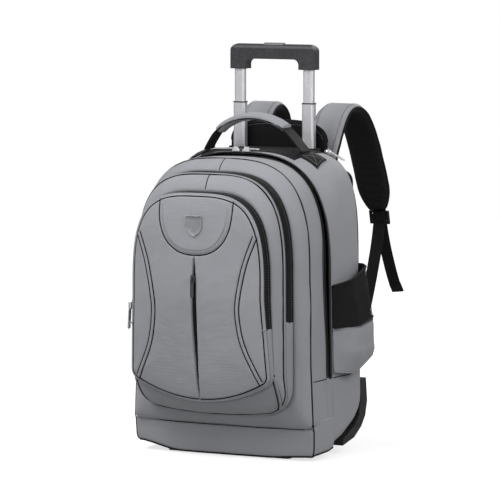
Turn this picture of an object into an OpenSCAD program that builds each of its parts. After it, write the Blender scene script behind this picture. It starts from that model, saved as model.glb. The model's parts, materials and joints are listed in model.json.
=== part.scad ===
// Rolling backpack-style laptop case: a soft body on a moulded wheel tub, with a
// two-stage trolley handle, two shoulder straps, and three zipped compartments.
// X runs across the case, Y from its front (-) to the wearer's back (+), Z is up.

/* [Case] */
// Half the width of the case at its foot
case_half = 167; // [160:1:175]
// Height of the rear compartment's arch above the floor
case_top = 495; // [470:1:520]
// Thickness of the fabric and foam walls
wall = 3; // [2:0.5:4]
// Height of the seam round the lower panel, where the main zip ends
seam_z = 130; // [120:1:140]

/* [Trolley handle] */
// Distance of each tube from the middle of the case
tube_x = 64.5; // [60:0.5:70]
// How far the lower stage stands above the case
lower_out = 75; // [74:1:90]
// How far the upper stage stands above the lower one
upper_out = 55; // [54:1:70]
// Outside width of the whole grip
grip_w = 156; // [152:1:170]

/* [Wheels] */
// Radius of each wheel
wheel_r = 34; // [32:0.5:36]
// Width of each wheel
wheel_w = 24; // [20:1:24]
// Distance of each wheel's middle from the middle of the case
wheel_x = 96; // [94:1:100]

/* [Straps] */
// Width of a shoulder strap's pad
pad_w = 56; // [50:1:60]
// Width of the strap webbing
web_w = 22; // [20:1:28]

/* [Hidden] */
$fn = 32;

y0 = -44.8;            // the case's own Y zero, placed so that the whole object is centred
grey = [0.42, 0.42, 0.45];
black = [0.06, 0.06, 0.065];
silver = [0.75, 0.75, 0.77];

// Depths, in the case's own Y
y_front = -105;        // the main front panel
y_zip = -60;           // the front edge of the main zip's tape
y_zip_mid = -51;       // the main zip's teeth
y_gusset = -42;        // the rear edge of the main zip's tape
y_middle_zip = -136;   // where the middle pocket meets its gusset
y_front_zip = -187;    // where the front pocket meets its gusset
y_back = 56;           // the back wall of the rear compartment
y_tube = 66;           // the trolley tubes
y_board = 77;          // the stiffening board behind the tubes
y_pad = 88;            // the surface of the back padding
y_middle = -158;       // the middle pocket's front panel
y_pocket = -209;       // the front pocket's front panel
z_foot = 8;            // underside of the case
z_hinge = 66;          // fold of the main compartment's front
slit_z = [112, 330];   // ends of the upright zip
lift = 0.6;            // gap between separate sewn sections
zip_thick = 1.1;       // thickness of a zip's tape

// ---- outlines and building blocks ----

// Right half of an arch: a straight side, then a superellipse shoulder up to the middle.
function arch_half(half, low, z_sh, z_top, power, z_low, r_low, sag, n) = concat(
    [for (i = [0:6]) let (t = i / 6 * (low - r_low)) [t, z_low - sag * (1 - pow(t / low, 2))]],
    [for (i = [1:5]) let (a = -90 + i * 18)
        [low - r_low + r_low * cos(a), z_low + r_low + r_low * sin(a)]],
    [for (i = [0:n]) let (a = 90 * i / n)
        [half * pow(cos(a), 2 / power), z_sh + (z_top - z_sh) * pow(sin(a), 2 / power)]]);

function mirrored(p) = concat(p, [for (i = [len(p) - 2:-1:1]) [-p[i][0], p[i][1]]]);

// [half width at the shoulder, half width low, shoulder z, top z, power, low z, corner radius, sag]
case_arch = [162, case_half, 300, case_top, 2.8, z_foot, 22, 0];
front_arch = [156, 163, 295, case_top - 6, 3, z_hinge, 8, 0];
middle_arch = [136, 137, 280, 467, 3.3, 84, 36, 12];
pocket_arch = [122, 129, 270, 437, 3.3, 130, 22, 32];
rear_arch = [162, case_half, 280, case_top + 4, 3.6, z_foot, 22, 0];
back_arch = [150, 150, 280, case_top + 4, 3.6, 122, 12, 0];

function outline(a, t = 0, n = 10) = mirrored(arch_half(
    a[0] - t, a[1] - t, a[2], a[3] - t, a[4], a[5] + t, max(a[6] - t, 1), a[7], n));

// A flat XZ shape pushed along Y from y_a to y_b.
module along_y(y_a, y_b) {
    translate([0, y_b, 0]) rotate([90, 0, 0]) linear_extrude(y_b - y_a) children();
}

// A flat YZ shape pushed along X from x_a to x_b.
module along_x(x_a, x_b) {
    translate([x_a, 0, 0]) rotate([90, 0, 90]) linear_extrude(x_b - x_a) children();
}

module slab(arch, y_a, y_b, t = 0) {
    along_y(y_a, y_b) polygon(outline(arch, t));
}

// The rim of an arch above z_from, such as a zip tape.
module rim(arch, y_a, y_b, t_out, t_in, z_from) {
    intersection() {
        along_y(y_a, y_b) difference() {
            polygon(outline(arch, t_out));
            polygon(outline(arch, t_in));
        }
        translate([-250, y_a - 1, z_from]) cube([500, y_b - y_a + 2, 600]);
    }
}

module box(x_a, x_b, y_a, y_b, z_a, z_b) {
    translate([x_a, y_a, z_a]) cube([x_b - x_a, y_b - y_a, z_b - z_a]);
}

module rounded(w, d, r) {
    square([w - 2 * r, d], center = true);
    square([w, d - 2 * r], center = true);
    for (sx = [-1, 1], sy = [-1, 1])
        translate([sx * (w / 2 - r), sy * (d / 2 - r)]) circle(r, $fn = 24);
}

module pair() {
    for (s = [-1, 1]) translate([s * tube_x, y_tube, 0]) children();
}

module both_sides() {
    children();
    mirror([1, 0, 0]) children();
}

// Points on a smooth line through the control points.
function smooth(c, steps = 4) = concat(
    [for (i = [0:len(c) - 2], k = [0:steps - 1]) let (
        a = c[max(i - 1, 0)], b = c[i], d = c[i + 1], e = c[min(i + 2, len(c) - 1)], t = k / steps)
        0.5 * (2 * b + (d - a) * t + (2 * a - 5 * b + 4 * d - e) * t * t
            + (3 * b - a - 3 * d + e) * t * t * t)],
    [c[len(c) - 1]]);

function unit(v) = v / norm(v);

// A flat band swept along points, wide in the direction of side.
module ribbon(points, wide, thick, side) {
    n = len(points);
    ring = [for (i = [0:n - 1]) let (
        t = unit(points[min(i + 1, n - 1)] - points[max(i - 1, 0)]),
        s = unit(side - t * (side * t)), m = cross(s, t))
        for (q = [[-1, -1], [1, -1], [1, 1], [-1, 1]])
            points[i] + s * q[0] * wide / 2 + m * q[1] * thick / 2];
    faces = concat([[3, 2, 1, 0]],
        [for (i = [0:n - 2], k = [0:3]) let (a = i * 4 + k, b = i * 4 + (k + 1) % 4) [a, b, b + 4]],
        [for (i = [0:n - 2], k = [0:3]) let (a = i * 4 + k, b = i * 4 + (k + 1) % 4) [a, b + 4, a + 4]],
        [[for (k = [0:3]) (n - 1) * 4 + k]]);
    polyhedron(ring, faces);
}

// A round wire swept along points.
module wire(points, r, sides) {
    n = len(points);
    ring = [for (i = [0:n - 1]) let (
        t = unit(points[min(i + 1, n - 1)] - points[max(i - 1, 0)]),
        s = unit(cross(t, [0.1, 0.2, 1])), m = cross(s, t))
        for (k = [0:sides - 1])
            points[i] + r * (s * cos(360 * k / sides) + m * sin(360 * k / sides))];
    faces = concat([[for (k = [sides - 1:-1:0]) k]],
        [for (i = [0:n - 2], k = [0:sides - 1]) let (a = i * sides + k, b = i * sides + (k + 1) % sides)
            [a, b, b + sides]],
        [for (i = [0:n - 2], k = [0:sides - 1]) let (a = i * sides + k, b = i * sides + (k + 1) % sides)
            [a, b + sides, a + sides]],
        [[for (k = [0:sides - 1]) (n - 1) * sides + k]]);
    polyhedron(ring, faces);
}

// ---- case ----

// The underside rises towards the wheels and turns up into the back.
under_line = [[-60, 11], [-35, 16], [-5, 25], [36, 45], [50, 58], [56, 80]];

module under_profile(t = 0) {
    polygon(concat([[y_front, z_hinge + 100], [y_front, z_foot + 10 + t], [y_front + 4, z_foot + 3 + t],
        [y_front + 12, z_foot + t]],
        [for (p = under_line) [p[0] - t, p[1] + t]],
        [[y_back - t, 700], [y_front, 700]]));
}

module base_shell() {
    color(grey) difference() {
        intersection() {
            translate([0, (y_back + y_front - 7) / 2, 0]) linear_extrude(200)
                rounded(2 * case_half, y_back - y_front + 7, 16);
            union() {
                intersection() {
                    slab(case_arch, y_zip_mid + 1, y_back);
                    box(-200, 200, -60, 100, 0, seam_z - lift);
                }
                intersection() {
                    slab(case_arch, y_front - 7, y_zip_mid + 2);
                    box(-200, 200, -130, 0, 0, z_hinge - 2);
                }
            }
            translate([0, -7, 0]) along_x(-200, 200) union() {
                under_profile();
                translate([7, 0]) under_profile();
            }
        }
        intersection() {
            slab(case_arch, y_front - 7 + wall, y_back - wall, wall);
            along_x(-200, 200) under_profile(wall);
        }
        for (s = [-1, 1]) translate([s * wheel_x, 0, 0])
            box(-well_half - 2, well_half + 2, wheel_y - 44, 100, 0, well_top + 2);
    }
}

// The shoulders are squarer at the back than at the zip.
y_square = 16;

module rear_shell() {
    color(grey) difference() {
        intersection() {
            union() {
                slab(case_arch, y_zip_mid, y_square + 1);
                slab(rear_arch, y_square, y_back);
            }
            box(-200, 200, -60, 100, seam_z, 600);
        }
        slab(case_arch, y_zip_mid - 1, y_square + 4, wall);
        slab(rear_arch, y_square + wall, y_back - wall, wall);
    }
}

module main_zip_rear() {
    color(black) zip_band(case_arch, y_zip_mid, y_gusset, seam_z);
}

module main_zip_front() {
    color(black) zip_band(front_arch, y_zip, y_zip_mid - lift, seam_z);
}

// Zip tape round the outside of an arch, from its two ends at z_from.
module zip_band(arch, y_a, y_b, z_from) {
    rim(arch, y_a, y_b, -zip_thick - 0.1, -0.1, z_from);
}

// A tray: a front panel with a wall round it, open at the back. The panel carries the
// gusset of the pocket in front of it, which starts at y_rim.
module tray(arch, y_a, y_b, rim_arch, y_rim) {
    color(grey) difference() {
        union() {
            slab(arch, y_a, y_b);
            slab(rim_arch, y_rim, y_a + 1);
        }
        slab(arch, y_a + wall, y_b + 1, wall);
        slab(rim_arch, y_rim - 1, y_a, wall);
    }
}

module front_shell() {
    tray(front_arch, y_front, y_zip_mid - lift, middle_arch, y_middle_zip);
}

module middle_pocket() {
    tray(middle_arch, y_middle, y_middle_zip - lift, pocket_arch, y_front_zip);
}

module middle_zip() {
    color(black) zip_band(middle_arch, y_middle + 1, y_middle_zip - lift, 229);
}

module front_pocket() {
    // The front panel bulges in steps, with a slot for the upright zip.
    color(grey) difference() {
        union() {
            slab(pocket_arch, y_pocket + 8, y_front_zip - lift);
            slab(pocket_arch, y_pocket, y_pocket + 9, 7);
            slab(pocket_arch, y_pocket - 8, y_pocket + 1, 15);
        }
        slab(pocket_arch, y_pocket + wall, y_front_zip + 1, 7 + wall);
        slab(pocket_arch, y_pocket + 8 + wall, y_front_zip + 1, wall);
        box(-5, 5, y_pocket - 12, y_pocket - 3, slit_z[0], slit_z[1]);
    }
}

module pocket_zips() {
    // The tape round the front pocket, and the upright zip in the middle of its panel.
    color(black) {
        zip_band(pocket_arch, y_pocket + 9, y_front_zip - lift, 222);
        box(-4.6, 4.6, y_pocket - 6.5, y_pocket - 3.1, slit_z[0] + 0.4, slit_z[1] - 0.4);
    }
}

module badge() {
    color(silver) translate([0, y_pocket - 8.1, 386]) rotate([90, 0, 0])
        linear_extrude(2) rounded(22, 30, 8);
}

module back_board() {
    color([0.3, 0.3, 0.3]) along_y(y_board, y_board + 2) polygon(outline(back_arch, 4));
}

module back_padding() {
    // Two upright pads and a lumbar pad, with a channel between them.
    color(black) {
        both_sides() intersection() {
            slab(back_arch, y_board + 2.2, y_pad, 4);
            box(9, 200, 0, 200, 232, 462);
        }
        intersection() {
            slab(back_arch, y_board + 2.2, y_pad, 4);
            box(-200, 200, 0, 200, 130, 222);
        }
    }
}

module back_gusset() {
    // The black wall round the space for the tubes, with a hole in its top for each tube.
    color(black) difference() {
        slab(back_arch, y_back, y_board, 0.5);
        slab(back_arch, y_back - 1, y_board + 1, 4);
        box(-84.3, 84.3, y_back - 1, y_board - 1.4, case_top - 15, case_top + 15);
        pair() translate([0, 0, 100]) linear_extrude(60) rounded(25.6, 17.6, 4.2);
    }
}

// The black flap behind the tubes, a low arch over the top of the case
flap_arch = [88, 88, 506, 541, 3, 502, 3, 0];

module top_flap() {
    color(black) slab(flap_arch, y_board + 2.2, y_board + 9);
}

module back_zip() {
    // It stops on each side of the plate that frames the tubes.
    color(black) difference() {
        zip_band(back_arch, y_board - 5, y_board - 0.4, 300);
        box(-85, 85, y_board - 10, y_board + 5, case_top - 40, case_top + 40);
    }
}

module laptop_sleeve() {
    // A padded divider on short sewn ends, and the strap that closes it.
    color([0.2, 0.2, 0.2]) {
        difference() {
            box(-140, 140, 16, 51.5, 96, 350);
            box(-134, 134, 22, 52.5, 102, 351);
        }
        box(-15, 15, 21, 23, 340, 372);
    }
}

module base_board() {
    color([0.3, 0.3, 0.3]) box(-150, 150, y_front + 18, -38, 19.2, 22.2);
}

module front_skid() {
    color(black) translate([0, y_front + 14, 0]) linear_extrude(z_foot) rounded(226, 16, 6);
}

// ---- wheels ----
wheel_y = 44;
well_half = wheel_w / 2 + 5.5;
well_top = 2 * wheel_r + 6;
axle_r = 4;

// The tub's outside and inside lines, seen from the side.
tub_out = [[-8, 14], [34, 23], [60, 38], [75, 55], [82, 79], [77, seam_z - 12]];
tub_in = [[57, seam_z - 12], [57, 80], [51, 57], [37, 44], [-6, 24.2]];

module wheel_tub() {
    color(black) difference() {
        union() {
            along_x(-case_half + 1, case_half - 1) polygon(concat(tub_out, tub_in));
            pair() box(-17, 17, -8.5, 11.4, 60, 96);
        }
        for (s = [-1, 1]) translate([s * wheel_x, 0, 0])
            box(-well_half - 0.2, well_half + 0.2, wheel_y - 43, 100, 0, well_top + 0.2);
        pair() translate([0, 0, 66]) linear_extrude(100) rounded(25.2, 17.2, 4.1);
        box(-case_half + 14, -wheel_x - 30, 40, 71, 76, 200);
        box(wheel_x + 30, case_half - 14, 40, 71, 76, 200);
    }
}

module wheel_housings() {
    // A box over the wheel, open below and behind, with two cheeks that hold the axle.
    color(black) both_sides() difference() {
        intersection() {
            translate([wheel_x, 0, 0]) box(-well_half, well_half, wheel_y - 42, 76, 12, well_top);
            translate([wheel_x, wheel_y, wheel_r]) rotate([0, 90, 0])
                cylinder(h = 100, r = wheel_r + 8, center = true, $fn = 64);
        }
        translate([wheel_x, wheel_y, wheel_r]) rotate([0, 90, 0])
            cylinder(h = wheel_w + 3, r = wheel_r + 4, center = true, $fn = 64);
        translate([wheel_x, wheel_y, wheel_r]) rotate([0, 90, 0])
            cylinder(h = 100, r = axle_r, center = true);
        translate([wheel_x, 0, 0]) box(-60, 60, wheel_y - 60, 120, 0, 22);
    }
}

module wheel_axles() {
    color(silver) both_sides() translate([wheel_x, wheel_y, wheel_r]) rotate([0, 90, 0])
        cylinder(h = 2 * well_half - 1, r = axle_r - 0.02, center = true);
}

module wheel_bushes() {
    color(silver) both_sides() for (s = [-1, 1])
        translate([wheel_x + s * (wheel_w / 2 - 2.5), wheel_y, wheel_r]) rotate([0, 90, 0])
            difference() {
                cylinder(h = 5, r = 8, center = true);
                cylinder(h = 6, r = axle_r, center = true);
            }
}

module hub() {
    color([0.25, 0.25, 0.26]) translate([wheel_x, wheel_y, wheel_r]) rotate([0, 90, 0])
        difference() {
            cylinder(h = wheel_w, r = wheel_r - 9, center = true, $fn = 64);
            cylinder(h = wheel_w + 2, r = axle_r + 0.4, center = true);
            for (s = [-1, 1]) translate([0, 0, s * (wheel_w / 2 - 2)])
                cylinder(h = 6.4, r = 8.05, center = true);
            for (s = [-1, 1], k = [0:4]) rotate(72 * k)
                translate([16.5, 0, s * wheel_w / 2]) cylinder(h = 10, r = 4.5, center = true);
        }
}

module tyre() {
    color(black) translate([wheel_x, wheel_y, wheel_r]) rotate([0, 90, 0])
        rotate_extrude($fn = 64) difference() {
            translate([wheel_r - 6, 0]) rounded(12, wheel_w, 4);
            translate([0, -50]) square([wheel_r - 9, 100]);
        }
}

// ---- trolley handle ----
tube_top = case_top + 2;
lower_z = tube_top + lower_out;        // top of the lower stage
upper_z = lower_z + upper_out;         // underside of the grip's legs
grip_top = upper_z + 42;
stage_long = 424;                      // length of a middle tube
inner_low = upper_z - 421;             // bottom of the inner tubes

module tube(w, d, t, z_a, z_b) {
    translate([0, 0, z_a]) linear_extrude(z_b - z_a) difference() {
        rounded(w, d, 4);
        rounded(w - 2 * t, d - 2 * t, 4 - t);
    }
}

module outer_tubes() {
    color(silver) pair() tube(25, 17, 1.2, 66.2, tube_top - 6.6);
}

module middle_tubes() {
    // Two lock holes show on the outer edge of each tube.
    color(silver) for (s = [-1, 1]) difference() {
        translate([s * tube_x, y_tube, 0]) tube(22, 14, 1.2, lower_z - 2 - stage_long, lower_z - 2);
        for (z = [lower_z - 12, lower_z - 26])
            translate([s * (tube_x + 10), y_tube, z]) rotate([0, 90, 0])
                cylinder(h = 8, r = 1.8, center = true);
    }
}

module inner_tubes() {
    color(silver) pair() tube(19, 11, 1.2, inner_low, upper_z + 22);
}

module tube_collars() {
    color(black) pair() translate([0, 0, lower_z - 1.9]) linear_extrude(1.9) difference() {
        rounded(23, 15, 4.5);
        rounded(19.6, 11.6, 3.2);
    }
}

module tube_bezel() {
    // The plate that frames both tubes where they leave the case.
    color(black) translate([0, y_tube, tube_top - 6.5]) difference() {
        linear_extrude(6.5) difference() {
            rounded(168, 18.6, 6);
            for (s = [-1, 1]) translate([s * tube_x, 0]) rounded(22.6, 14.6, 4);
        }
        box(-44, 44, -20, 20, -1, 0.8);
    }
}

module tube_brace() {
    color(silver) box(-76, 76, y_back, y_tube - 8.6, 262, 288);
}

module lock_blocks() {
    color(black) pair() translate([0, 0, inner_low + 0.4]) linear_extrude(22) difference() {
        rounded(16.4, 8.4, 2.6);
        circle(2.2, $fn = 24);
    }
}

// The grip is a U seen from the front; its ends and top edge are rounded.
grip_d = 22;

module grip_face() {
    half = grip_w / 2;
    difference() {
        union() {
            translate([0, grip_top - 12.5]) square([grip_w - 24, 25], center = true);
            for (s = [-1, 1]) {
                translate([s * (half - 12), grip_top - 12]) circle(12, $fn = 48);
                translate([s * (half - 14), upper_z + 15.5]) square([28, 31], center = true);
                translate([s * (half - 30), grip_top - 30]) square([12, 12], center = true);
            }
        }
        translate([0, grip_top - 25 - 9.5]) square([grip_w - 56 - 19, 19], center = true);
        for (s = [-1, 1]) translate([s * (half - 28 - 9.5), grip_top - 25 - 9.5]) {
            circle(9.5, $fn = 48);
            translate([0, -10]) square([19, 20], center = true);
        }
    }
}

module grip_solid() {
    intersection() {
        along_y(y_tube - grip_d / 2, y_tube + grip_d / 2) grip_face();
        along_x(-100, 100) union() {
            translate([y_tube, grip_top - 12]) circle(12, $fn = 64);
            translate([y_tube, grip_top - 36]) square([grip_d, 48], center = true);
        }
    }
}

module grip_cut() {
    difference() {
        grip_solid();
        pair() translate([0, 0, upper_z - 1]) linear_extrude(23.4) rounded(19.2, 11.2, 4);
        box(-70, 70, y_tube - 5.2, y_tube + 5.2, upper_z + 22.4, grip_top - 5);
        translate([0, y_tube, grip_top - 14]) linear_extrude(20) rounded(38.6, 12.6, 6);
    }
}

module grip_front() {
    color([0.13, 0.13, 0.14]) intersection() {
        grip_cut();
        box(-100, 100, 0, y_tube, 500, 800);
    }
}

module grip_rear() {
    color([0.13, 0.13, 0.14]) intersection() {
        grip_cut();
        box(-100, 100, y_tube, 200, 500, 800);
    }
}

module release_button() {
    color([0.35, 0.35, 0.36]) translate([0, y_tube, grip_top - 9])
        linear_extrude(11) rounded(38, 12, 5.8);
}

module release_rods() {
    // The yoke under the button and the two rods that run down to the locks.
    color(silver) {
        box(-66.5, 66.5, y_tube - 4, y_tube + 4, grip_top - 12.2, grip_top - 9);
        pair() translate([0, 0, inner_low - 4]) cylinder(h = grip_top - 12 - inner_low + 4, r = 2);
    }
}

module button_spring() {
    turns = 4;
    bottom = upper_z + 22.8;
    rise = grip_top - 12.6 - bottom;
    color(silver) wire([for (i = [0:turns * 10]) let (a = 36 * i)
        [3.2 * cos(a), y_tube + 3.2 * sin(a), bottom + rise * i / (turns * 10)]], 0.35, 6);
}

// ---- side pockets ----
// Each pocket is a wedge: close to the case at its mouth and widest lower down.
pocket_y = [-41.6, 57];
pocket_plan = [[0, pocket_y[0]], [case_half + 6, pocket_y[0]],
    [case_half + 22, pocket_y[0] + 30], [case_half + 28, pocket_y[1] - 8],
    [case_half + 12, pocket_y[1]], [0, pocket_y[1]]];
pocket_front = [[0, 120], [case_half + 12, 120], [case_half + 26, 150], [case_half + 27, 212],
    [case_half + 11, 310], [0, 320]];

module pocket_wedge(low, high, t) {
    intersection() {
        linear_extrude(400) offset(delta = -t) polygon(pocket_plan);
        along_y(-200, 200) offset(delta = -t) polygon(pocket_front);
        along_x(0, 300) polygon([[-100, low[0]], [100, low[1]], [100, high[1]], [-100, high[0]]]);
    }
}

module side_mesh() {
    color(black) difference() {
        pocket_wedge([214, 210], [264, 320], 0);
        pocket_wedge([200, 190], [300, 400], 1.4);
        slab(case_arch, -100, 100);
    }
}

module side_panel() {
    color(grey) difference() {
        pocket_wedge([130, 171], [213.6, 209.6], 0);
        pocket_wedge([133, 174], [230, 230], 1.4);
        slab(case_arch, -100, 100);
    }
}

// ---- carry handle ----
handle_y = -2;
handle_w = 30;
loop_line = [[-84, 494], [-79, 508], [-68, 524], [-48, 538], [-24, 545], [0, 547],
    [24, 545], [48, 538], [68, 524], [79, 508], [84, 494]];

grip_line = [for (i = [3:7]) [loop_line[i][0] * 1.1, loop_line[i][1] - abs(i - 5)]];

// A band along a line over the case, as wide as the handle.
module handle_band(line, steps, wide, thick) {
    ribbon(smooth([for (p = line) [p[0], handle_y, p[1] + 1.2]], steps), wide, thick, [0, 1, 0]);
}

module handle_loop() {
    color(black) handle_band(loop_line, 2, handle_w, 2);
}

module handle_grip() {
    // The padded sleeve is wrapped round the middle of the loop.
    color(grey) difference() {
        handle_band(grip_line, 3, handle_w, 16);
        handle_band(loop_line, 2, handle_w + 0.4, 2.4);
    }
}

module sewn_anchors() {
    color(black) both_sides() {
        // Patch of the carry handle, on the shoulder of the arch
        ribbon([[88, handle_y, 486], [97, handle_y, 480.4], [108, handle_y, 472],
            [119, handle_y, 462.4]], handle_w, 2, [0, 1, 0]);
        // Tab that holds the end of the strap webbing
        ribbon([[147, y_board + 4, 124], [147, y_board + 14, 112], [147, y_board + 17, 102]],
            30, 2, [1, 0, 0]);
    }
}

// ---- shoulder straps ----
strap_x = 70;
pad_line = [[strap_x, 97, 458], [strap_x, 101, 480], [strap_x, 122, 518], [strap_x + 1, 146, 550],
    [strap_x + 3, 176, 560], [strap_x + 6, 206, 546], [strap_x + 11, 228, 510],
    [strap_x + 17, 244, 460], [strap_x + 23, 256, 410], [strap_x + 26, 262, 384]];
buckle_at = [strap_x + 27, 266, 372];
web_line = [[98, 262, 354], [102, 246, 312], [114, 208, 250], [132, 154, 184], [144, 112, 132]];
tail_line = [[99, 271, 352], [101, 279, 322], [104, 289, 290], [108, 300, 258], [111, 311, 238]];

module shoulder_pad() {
    color(grey) ribbon(smooth(pad_line, 3), pad_w, 12, [1, 0, 0]);
}

module buckle() {
    color(black) translate(buckle_at) rotate([14, 0, 0]) difference() {
        box(-18, 18, -2.5, 2.5, -15, 8);
        box(-14, 14, -5, 5, 1, 5);
        box(-14, 14, -5, 5, -11.5, -7);
    }
}

module strap_web() {
    color(black) {
        ribbon(smooth(web_line, 2), web_w, 1.6, [1, 0, 0]);
        ribbon(smooth(tail_line, 2), web_w, 1.6, [1, 0, 0]);
    }
}

// ---- zip sliders and pulls ----
eye_z = 4.4;           // height of the hole in a slider's bridge above its tape

// A slider lies on its zip with +Z away from the cloth and +X along the zip.
module slider(wide = 9) {
    bridge = wide / 6;
    color(silver) difference() {
        union() {
            linear_extrude(3) rounded(13, wide, 2.5);
            box(-4, 4, -bridge, bridge, 2.9, 7);
        }
        translate([0, 0, eye_z]) rotate([90, 0, 0]) cylinder(h = 20, r = 1.1, center = true);
    }
}

// A pull hangs on a pin through the slider's bridge and reaches along -X.
module pull(long, wide = 8) {
    arm = 0.1 * wide;
    arm_y = wide / 2 - arm;
    color(silver) translate([0, 0, eye_z]) {
        rotate([90, 0, 0]) cylinder(h = 2 * arm_y, r = 0.8, center = true);
        for (s = [-1, 1]) box(-7, 0.8, s * arm_y - arm, s * arm_y + arm, -0.8, 0.8);
        translate([-6 - long / 2, 0, -0.8]) linear_extrude(1.6) rounded(long, wide, 0.375 * wide);
    }
}

z_arc = 173;           // centre of the circle that the top of the main zip follows
r_arc = case_top - z_arc;

module on_main_zip(side) {
    mirror([side < 0 ? 1 : 0, 0, 0]) translate([0, y_zip_mid, z_arc]) rotate([0, 1.7, 0])
        translate([0, 0, r_arc + zip_thick + 1.3]) mirror([1, 0, 0]) children();
}

// Place a slider at height z on the straight left side of an arch's zip.
module on_side_zip(arch, y, z) {
    z_low = arch[5] + arch[6];
    run = (arch[1] - arch[0]) / (arch[2] - z_low);
    translate([-arch[1] + run * (z - z_low) - zip_thick - 0.9, y, z])
        rotate([0, -90 + atan(run), 0]) children();
}

module on_front_zip() {
    on_side_zip(pocket_arch, y_front_zip - 7, 250) children();
}

module on_middle_zip() {
    on_side_zip(middle_arch, y_middle_zip - 7, 262) children();
}

module on_centre_zip() {
    translate([0, y_pocket - 6.9, 300]) rotate([0, -90, 90]) children();
}

// Circle that the right shoulder of the back zip follows: its X, its Z and its radius
arc_back = [53, 404.4, 92];

module on_back_zip() {
    translate([arc_back[0], y_board - 2.7, arc_back[1]]) rotate([0, 27, 0])
        translate([0, 0, arc_back[2] + 2.6]) children();
}

// ---- one line for each sub-part ----
module place() {
    translate([0, y0, 0]) children();
}

module left() {
    place() mirror([1, 0, 0]) children();
}

place() base_shell();
place() rear_shell();
place() back_gusset();
place() back_board();
place() back_padding();
place() top_flap();
place() main_zip_rear();
place() back_zip();
place() laptop_sleeve();
place() base_board();
place() wheel_tub();
place() front_skid();
place() wheel_housings();
place() wheel_axles();
place() wheel_bushes();
place() outer_tubes();
place() tube_bezel();
place() tube_brace();
place() both_sides() side_mesh();  // side_meshes
place() both_sides() side_panel();  // side_panels
place() sewn_anchors();
place() middle_tubes();
place() tube_collars();
place() inner_tubes();
place() lock_blocks();
place() grip_front();
place() grip_rear();
place() release_button();
place() release_rods();
place() button_spring();
left() hub();  // hub_left
place() hub();  // hub_right
left() tyre();  // tyre_left
place() tyre();  // tyre_right
place() front_shell();
place() main_zip_front();
place() middle_pocket();
place() middle_zip();
place() front_pocket();
place() pocket_zips();
place() badge();
place() handle_loop();
place() handle_grip();
left() shoulder_pad();  // shoulder_pad_left
place() shoulder_pad();  // shoulder_pad_right
left() buckle();  // buckle_left
place() buckle();  // buckle_right
left() strap_web();  // strap_web_left
place() strap_web();  // strap_web_right
place() on_main_zip(-1) slider();  // main_slider_left
place() on_main_zip(1) slider();  // main_slider_right
place() on_main_zip(-1) pull(34);  // main_pull_left
place() on_main_zip(1) pull(18);  // main_pull_right
place() on_front_zip() slider();  // front_slider
place() on_middle_zip() slider();  // middle_slider
place() on_centre_zip() slider(6.6);  // centre_slider
place() on_back_zip() slider();  // back_slider
place() on_front_zip() pull(34);  // front_pull
place() on_centre_zip() pull(24, 6);  // centre_pull
place() on_back_zip() mirror([1, 0, 0]) pull(26);  // back_pull
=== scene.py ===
"""Looks of a wheeled trolley backpack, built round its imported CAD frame.

Lengths are in millimetres in the case's own frame, as in the CAD source: X to the right,
Y from the front panel (-) to the wearer's back (+), Z up. row() turns them into the row frame.
"""
import json
import math

import bmesh
import bpy
import numpy as np
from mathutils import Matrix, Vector, noise


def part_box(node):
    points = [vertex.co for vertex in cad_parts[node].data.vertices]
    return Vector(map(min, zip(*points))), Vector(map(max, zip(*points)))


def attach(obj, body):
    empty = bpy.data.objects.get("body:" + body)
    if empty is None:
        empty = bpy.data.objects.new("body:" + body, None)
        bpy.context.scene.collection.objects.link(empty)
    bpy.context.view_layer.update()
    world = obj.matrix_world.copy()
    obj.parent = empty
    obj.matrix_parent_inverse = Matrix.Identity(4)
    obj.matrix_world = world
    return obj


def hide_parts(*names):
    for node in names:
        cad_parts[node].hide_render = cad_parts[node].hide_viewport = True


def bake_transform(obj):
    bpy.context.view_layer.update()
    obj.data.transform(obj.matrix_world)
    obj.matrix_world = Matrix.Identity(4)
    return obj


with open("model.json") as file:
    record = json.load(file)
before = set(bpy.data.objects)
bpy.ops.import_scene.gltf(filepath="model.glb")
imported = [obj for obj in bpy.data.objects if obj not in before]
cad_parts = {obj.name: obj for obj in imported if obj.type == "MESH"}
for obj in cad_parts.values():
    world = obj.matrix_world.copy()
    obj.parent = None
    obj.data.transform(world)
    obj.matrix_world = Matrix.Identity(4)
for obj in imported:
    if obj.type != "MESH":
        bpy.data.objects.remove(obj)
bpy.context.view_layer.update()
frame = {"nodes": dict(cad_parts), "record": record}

MM = 0.001
Y_BOARD = 77.0
Y_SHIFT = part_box("back_board")[0].y - Y_BOARD * MM
CENTRE = np.array([0, -40, 260.0])
AXIS = np.array([0, 0, CENTRE[2]])
CAMERA_PLACE, CAMERA_LENS = (3018.7, -5677.3, 917.0), 280.2
CAMERA_PITCH, CAMERA_YAW = 5.221, 28.089
FLOOR_HALF = 120.0
SIDES = (("left", -1), ("right", 1))
SQUARE = ((-1, -1), (1, -1), (1, 1), (-1, 1))
BLOCK_TOP = 0.7
TOOTH_PITCH = 2.6

# ---------------------------------------------------------------- camera, light and floor


def row(points):
    """Case millimetres to metres in the row frame."""
    out = np.array(points, float) * MM
    out[..., 1] += Y_SHIFT
    return out


def linked(name, data):
    """A new object in the scene."""
    obj = bpy.data.objects.new(name, data)
    bpy.context.scene.collection.objects.link(obj)
    return obj


def build_camera():
    data = bpy.data.cameras.new("camera")
    data.sensor_width = 36
    data.lens = CAMERA_LENS
    data.clip_end = 400
    camera = linked("camera", data)
    camera.location = row(CAMERA_PLACE)
    camera.rotation_euler = (math.radians(90 - CAMERA_PITCH), 0, math.radians(CAMERA_YAW))
    bpy.context.scene.camera = camera


def area_light(name, place, aim, size, watts):
    data = bpy.data.lights.new(name, "AREA")
    data.size = size
    data.energy = watts
    light = linked(name, data)
    light.location = place
    light.rotation_euler = (Vector(aim) - Vector(place)).to_track_quat("-Z", "Y").to_euler()


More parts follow.
